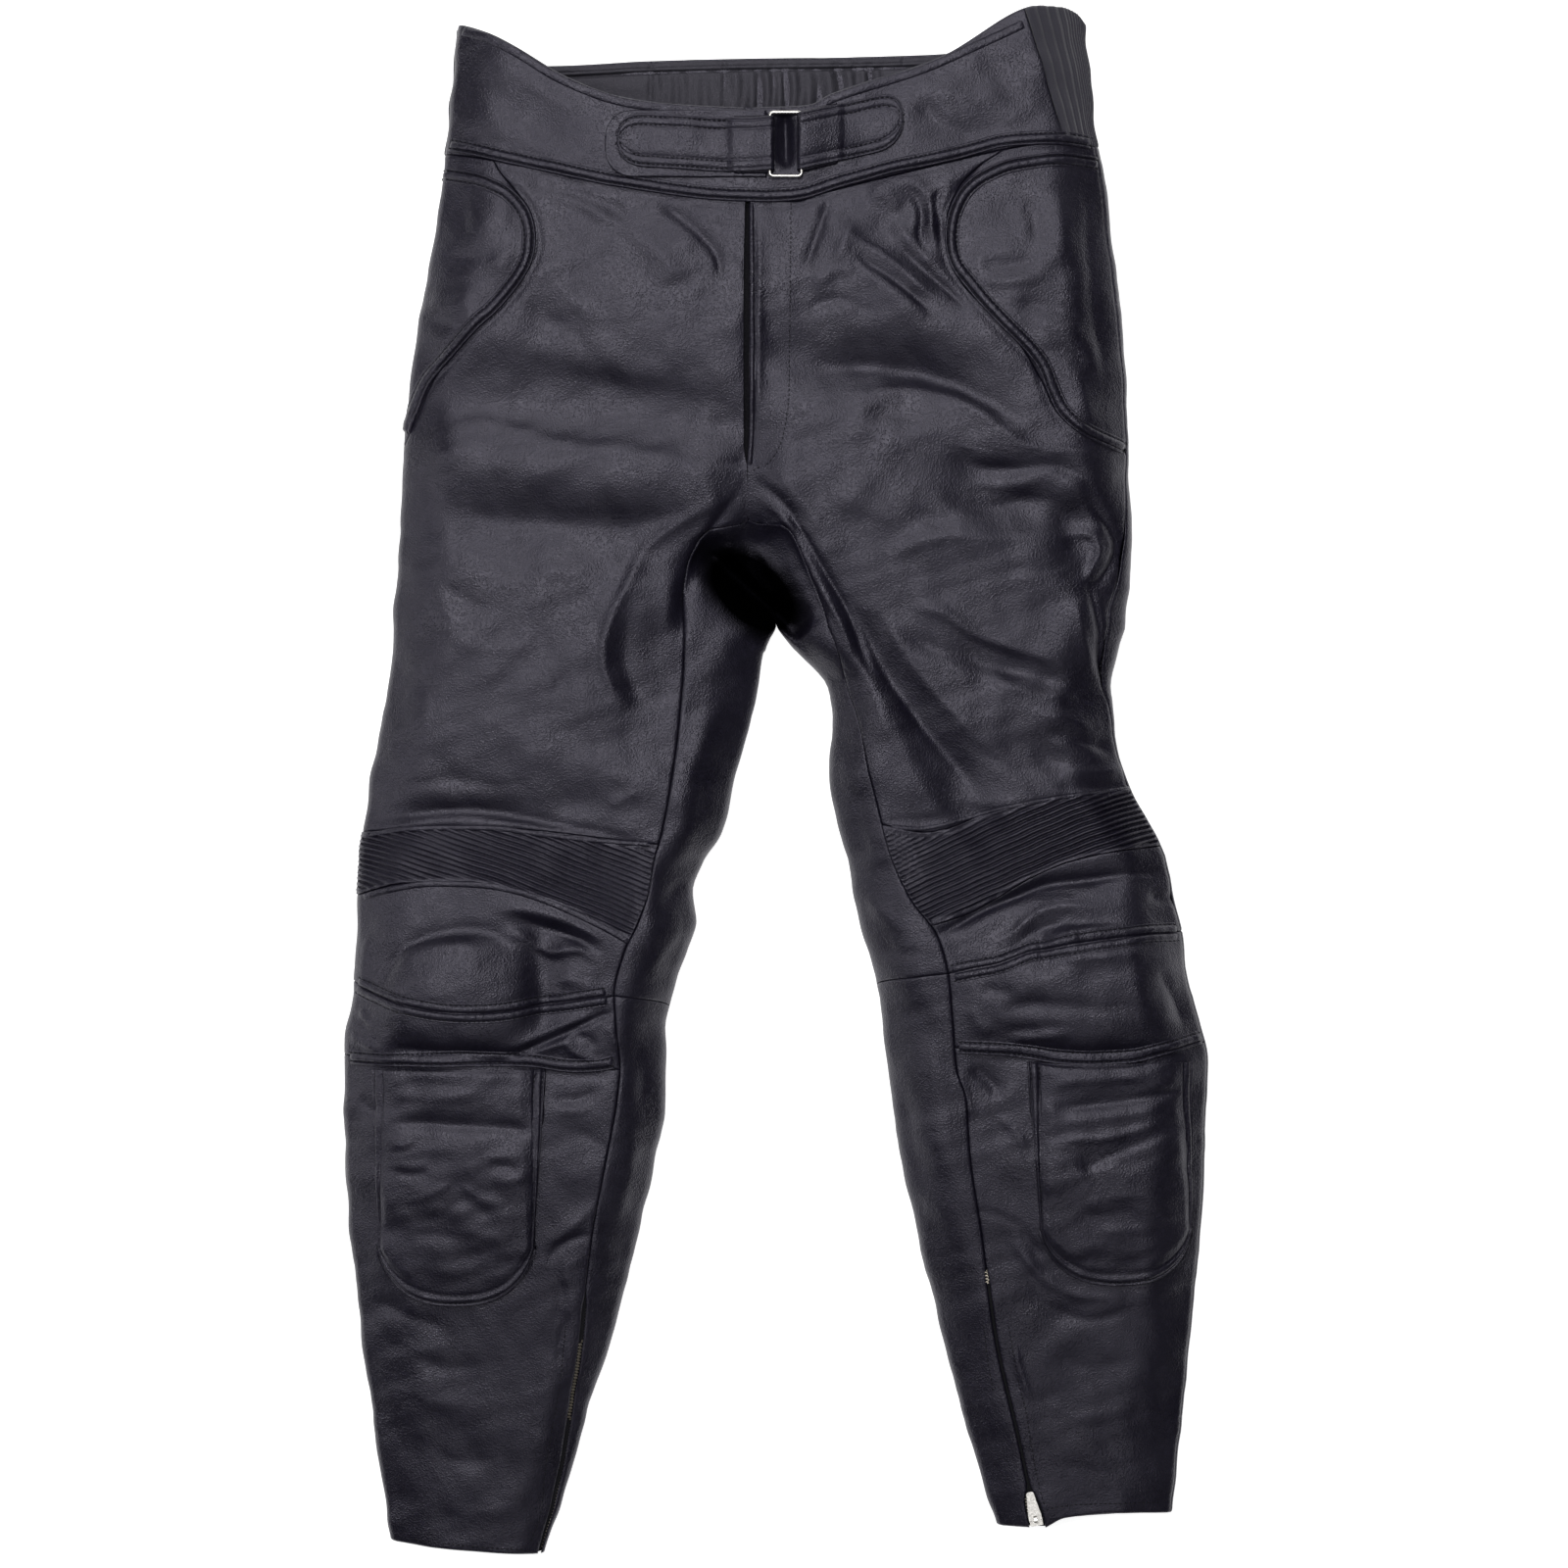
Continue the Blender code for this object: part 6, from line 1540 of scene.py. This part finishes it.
# Every visible seam: its profile, then the plan points of its free edge, joint or middle.
SEAMS = {
    "waist_seam": ("lap", (-223, 428), (-205, 423.5), (-190, 419.5), (-170, 415), (-148, 410),
                   (-130, 406), (-110, 402), (-85, 398), (-60, 394.5), (-40, 392.5), (-19, 391.5),
                   (0, 391.5), (20, 393.5), (40, 400), (60, 405.5), (80, 411), (100, 415), (120, 419.5),
                   (140, 425), (155, 428.5), (186, 430), (214, 429)),
    "hip_seam_r": ("lap", (-248, 236), (-243, 250), (-232, 272), (-218, 287), (-200, 306), (-190, 315),
                   (-180, 326), (-170, 339), (-163.5, 352), (-161.5, 366), (-163.5, 380), (-169, 391),
                   (-179, 401), (-190, 407), (-201, 411.5), (-226, 417.5)),
    "hip_seam_l": ("lap", (219, 423.5), (206, 424.5), (193, 425), (179, 424), (156, 420), (140, 413.5),
                   (130, 407), (122, 398), (116, 385), (113.5, 371), (114.5, 357), (119, 345), (128, 333),
                   (137, 322), (151, 307), (166, 292), (176, 279), (182, 264), (190, 248), (203, 236),
                   (218, 229), (236, 223)),
    "knee_seam_r": ("open", (-285, -136), (-268, -143), (-250, -149), (-226, -153.5), (-200, -154.5),
                    (-180, -153), (-160, -149.5), (-140, -147), (-113, -143)),
    "knee_seam_l": ("open", (118, -128), (131, -125), (150, -121), (170, -113), (185, -110.5),
                    (198, -108.5), (220, -105), (249, -101.5), (273, -101)),
    "knee_bottom_r": ("lap", (-290, -190), (-240, -191), (-190, -191), (-165, -191.5), (-140, -195),
                      (-120, -194.5), (-107, -192)),
    "knee_bottom_l": ("lap", (122, -182), (150, -183.5), (170, -186), (190, -189), (215, -190),
                      (240, -188.5), (256, -185), (274, -180), (290, -176)),
    "knee_welt_r": ((4.2, 0.9), (-281, -77.5), (-270, -74), (-250, -69.5), (-230, -67.5), (-200, -68.5),
                    (-180, -71.5), (-160, -77.5), (-140, -85.5), (-120, -95), (-106, -102.5),
                    (-98, -107.5)),
    "band_welt_r": ((3.4, 0.9), (-277, -35), (-262, -32.5), (-250, -31), (-230, -30), (-200, -30),
                    (-182, -31), (-170, -33), (-150, -35.5), (-120, -38.5), (-84, -41)),
    "band_welt_l": ((2.8, 0.6), (76, -28.5), (95, -30.5), (110, -28.5), (130, -23), (150, -17.5),
                    (170, -13.5), (200, -8), (225, -4.5), (243, -3)),
    "waist_edge_r": ((6.0, 0.9), (-214, 509.5), (-194, 502), (-170, 489), (-145, 474), (-107, 459.5),
                     (-62, 453.5), (-19, 451.5)),
    "waist_edge_l": ((6.0, 0.9), (-19, 451.5), (22, 453.5), (38, 461), (59, 468), (94, 479), (114, 487),
                     (150, 503.5), (168, 512)),
}
# How far beside its path the leather sinks along a seam, how deep and how widely.
SUNK = {"lap": ((-2.2, -1.3, 2.8), (9.6, -0.5, 3.0)), "open": ((0.0, -0.7, 8.0),)}
for kind, *points in SEAMS.values():
    for away, depth, width in SUNK.get(kind, ()):
        beside = np.array(points) + sideways(np.array(points, float)) * away
        FOLDS += ((depth, width, 0, *beside.tolist()),)


# Plain rows of stitches: round the hems, and beside the ankle zips.
PLAIN_ROWS = (
    ((-250, -513), (-225, -515.5), (-200, -518), (-172, -520)),
    ((176, -494.5), (192, -490), (214, -488.5), (240, -488), (262, -488.5)),
    ((-142, -366), (-147, -410), (-155, -455), (-160, -496), (-167, -516)),
    ((157, -366), (163, -400), (169, -425), (173, -450), (178, -475), (182, -490)),
    ((140, -366), (143, -390), (147, -413)),
)


def seams():
    for row in PLAIN_ROWS:
        stitch_row(row)
    profiles = {"lap": LAP, "open": OPEN}
    for name, (kind, *points) in SEAMS.items():
        if kind in profiles:
            strip(name, points, profiles[kind], ROWS[kind])
        else:
            strip(name, points, welt(*kind))


# ---------------------------------------------------------------- camera and lights

# The picture shows this width, in metres, at this distance below the camera, which is 25 mm
# above the floor. The sensor's width is in millimetres.
WIDTH_SHOWN, DISTANCE, SENSOR = 1.0613, 2.6, 36.0


def place_camera():
    """Straight above the middle, far enough back for the long lens of a catalogue view."""
    camera = bpy.data.objects.new("camera", bpy.data.cameras.new("camera"))
    bpy.context.collection.objects.link(camera)
    camera.location = (0.0053, -0.0003, 2.625)
    camera.data.sensor_width = SENSOR
    camera.data.lens = SENSOR * DISTANCE / WIDTH_SHOWN
    bpy.context.scene.camera = camera


# Soft lights, all aimed at the middle: place and size in metres, and power in watts.
LIGHTS = {
    "overhead": ((-0.1, 0.75, 2.7), (0.85, 0.7), 25),
    "left_high": ((-0.8, 0, 2.7), (0.7, 0.8), 5),
    "top": ((-0.1, 1.9, 1.7), (2.2, 0.8), 20),
    "left": ((-2.0, 0, 1.5), (0.8, 2.0), 14),
    "foot": ((0.3, -1.2, 2.4), (1.4, 0.7), 6),
}
MIDDLE = Vector((0, 0, 0))


def soft_light(name, place, size, power):
    lamp = bpy.data.lights.new(name, "AREA")
    lamp.shape, lamp.size, lamp.size_y, lamp.energy = "RECTANGLE", size[0], size[1], power
    made = bpy.data.objects.new(name, lamp)
    bpy.context.collection.objects.link(made)
    made.location = place
    made.rotation_euler = (MIDDLE - Vector(place)).to_track_quat("-Z", "Y").to_euler()


def studio():
    """A white floor that glows, so that the paper stays white, and the soft lights."""
    world = bpy.context.scene.world or bpy.data.worlds.new("studio")
    bpy.context.scene.world = world
    world.use_nodes = True
    sky = world.node_tree.nodes["Background"]
    sky.inputs["Color"].default_value = (1, 1, 1, 1)
    sky.inputs["Strength"].default_value = 0.03
    bpy.context.scene.view_settings.view_transform = "Standard"
    mesh = bpy.data.meshes.new("floor")
    corners = [(x, y, -0.0006) for x, y in ((-4, -4), (4, -4), (4, 4), (-4, 4))]
    mesh.from_pydata(corners, [], [(0, 1, 2, 3)])
    floor = bpy.data.objects.new("floor", mesh)
    bpy.context.collection.objects.link(floor)
    paper, _, shader = principled("paper")
    shader.inputs["Base Color"].default_value = (0.8, 0.8, 0.8, 1)
    shader.inputs["Roughness"].default_value = 0.9
    shader.inputs["Emission Color"].default_value = (1, 1, 1, 1)
    shader.inputs["Emission Strength"].default_value = 0.86
    mesh.materials.append(paper)
    for name, values in LIGHTS.items():
        soft_light(name, *values)


def main():
    place_camera()
    studio()
    for half in HALVES.values():
        thigh_and_hip_pad(half)
        stretch_band(half)
        front_panel(half, "knee_cap", "band_bottom", "knee_seam", 70, "knee_upper")
        front_panel(half, "knee_under", "knee_seam", "knee_bottom", 60, "knee_lower")
        front_panel(half, "shin_front", "knee_bottom", "hem", 330, "shin")
        back_and_strip(half)
        shin_guard(half)
        waistband(half)
        ankle_zip(half)
    waist_back()
    lining()
    fly()
    strap_base()
    strap_and_tab()
    ring_wire()
    seams()
    make_stitches("stitches")
    for name in ("ankle_slider_l", "ankle_pull_l"):
        for slot in bpy.data.objects[name].material_slots:
            slot.material = MATERIALS["nickel"]


main()
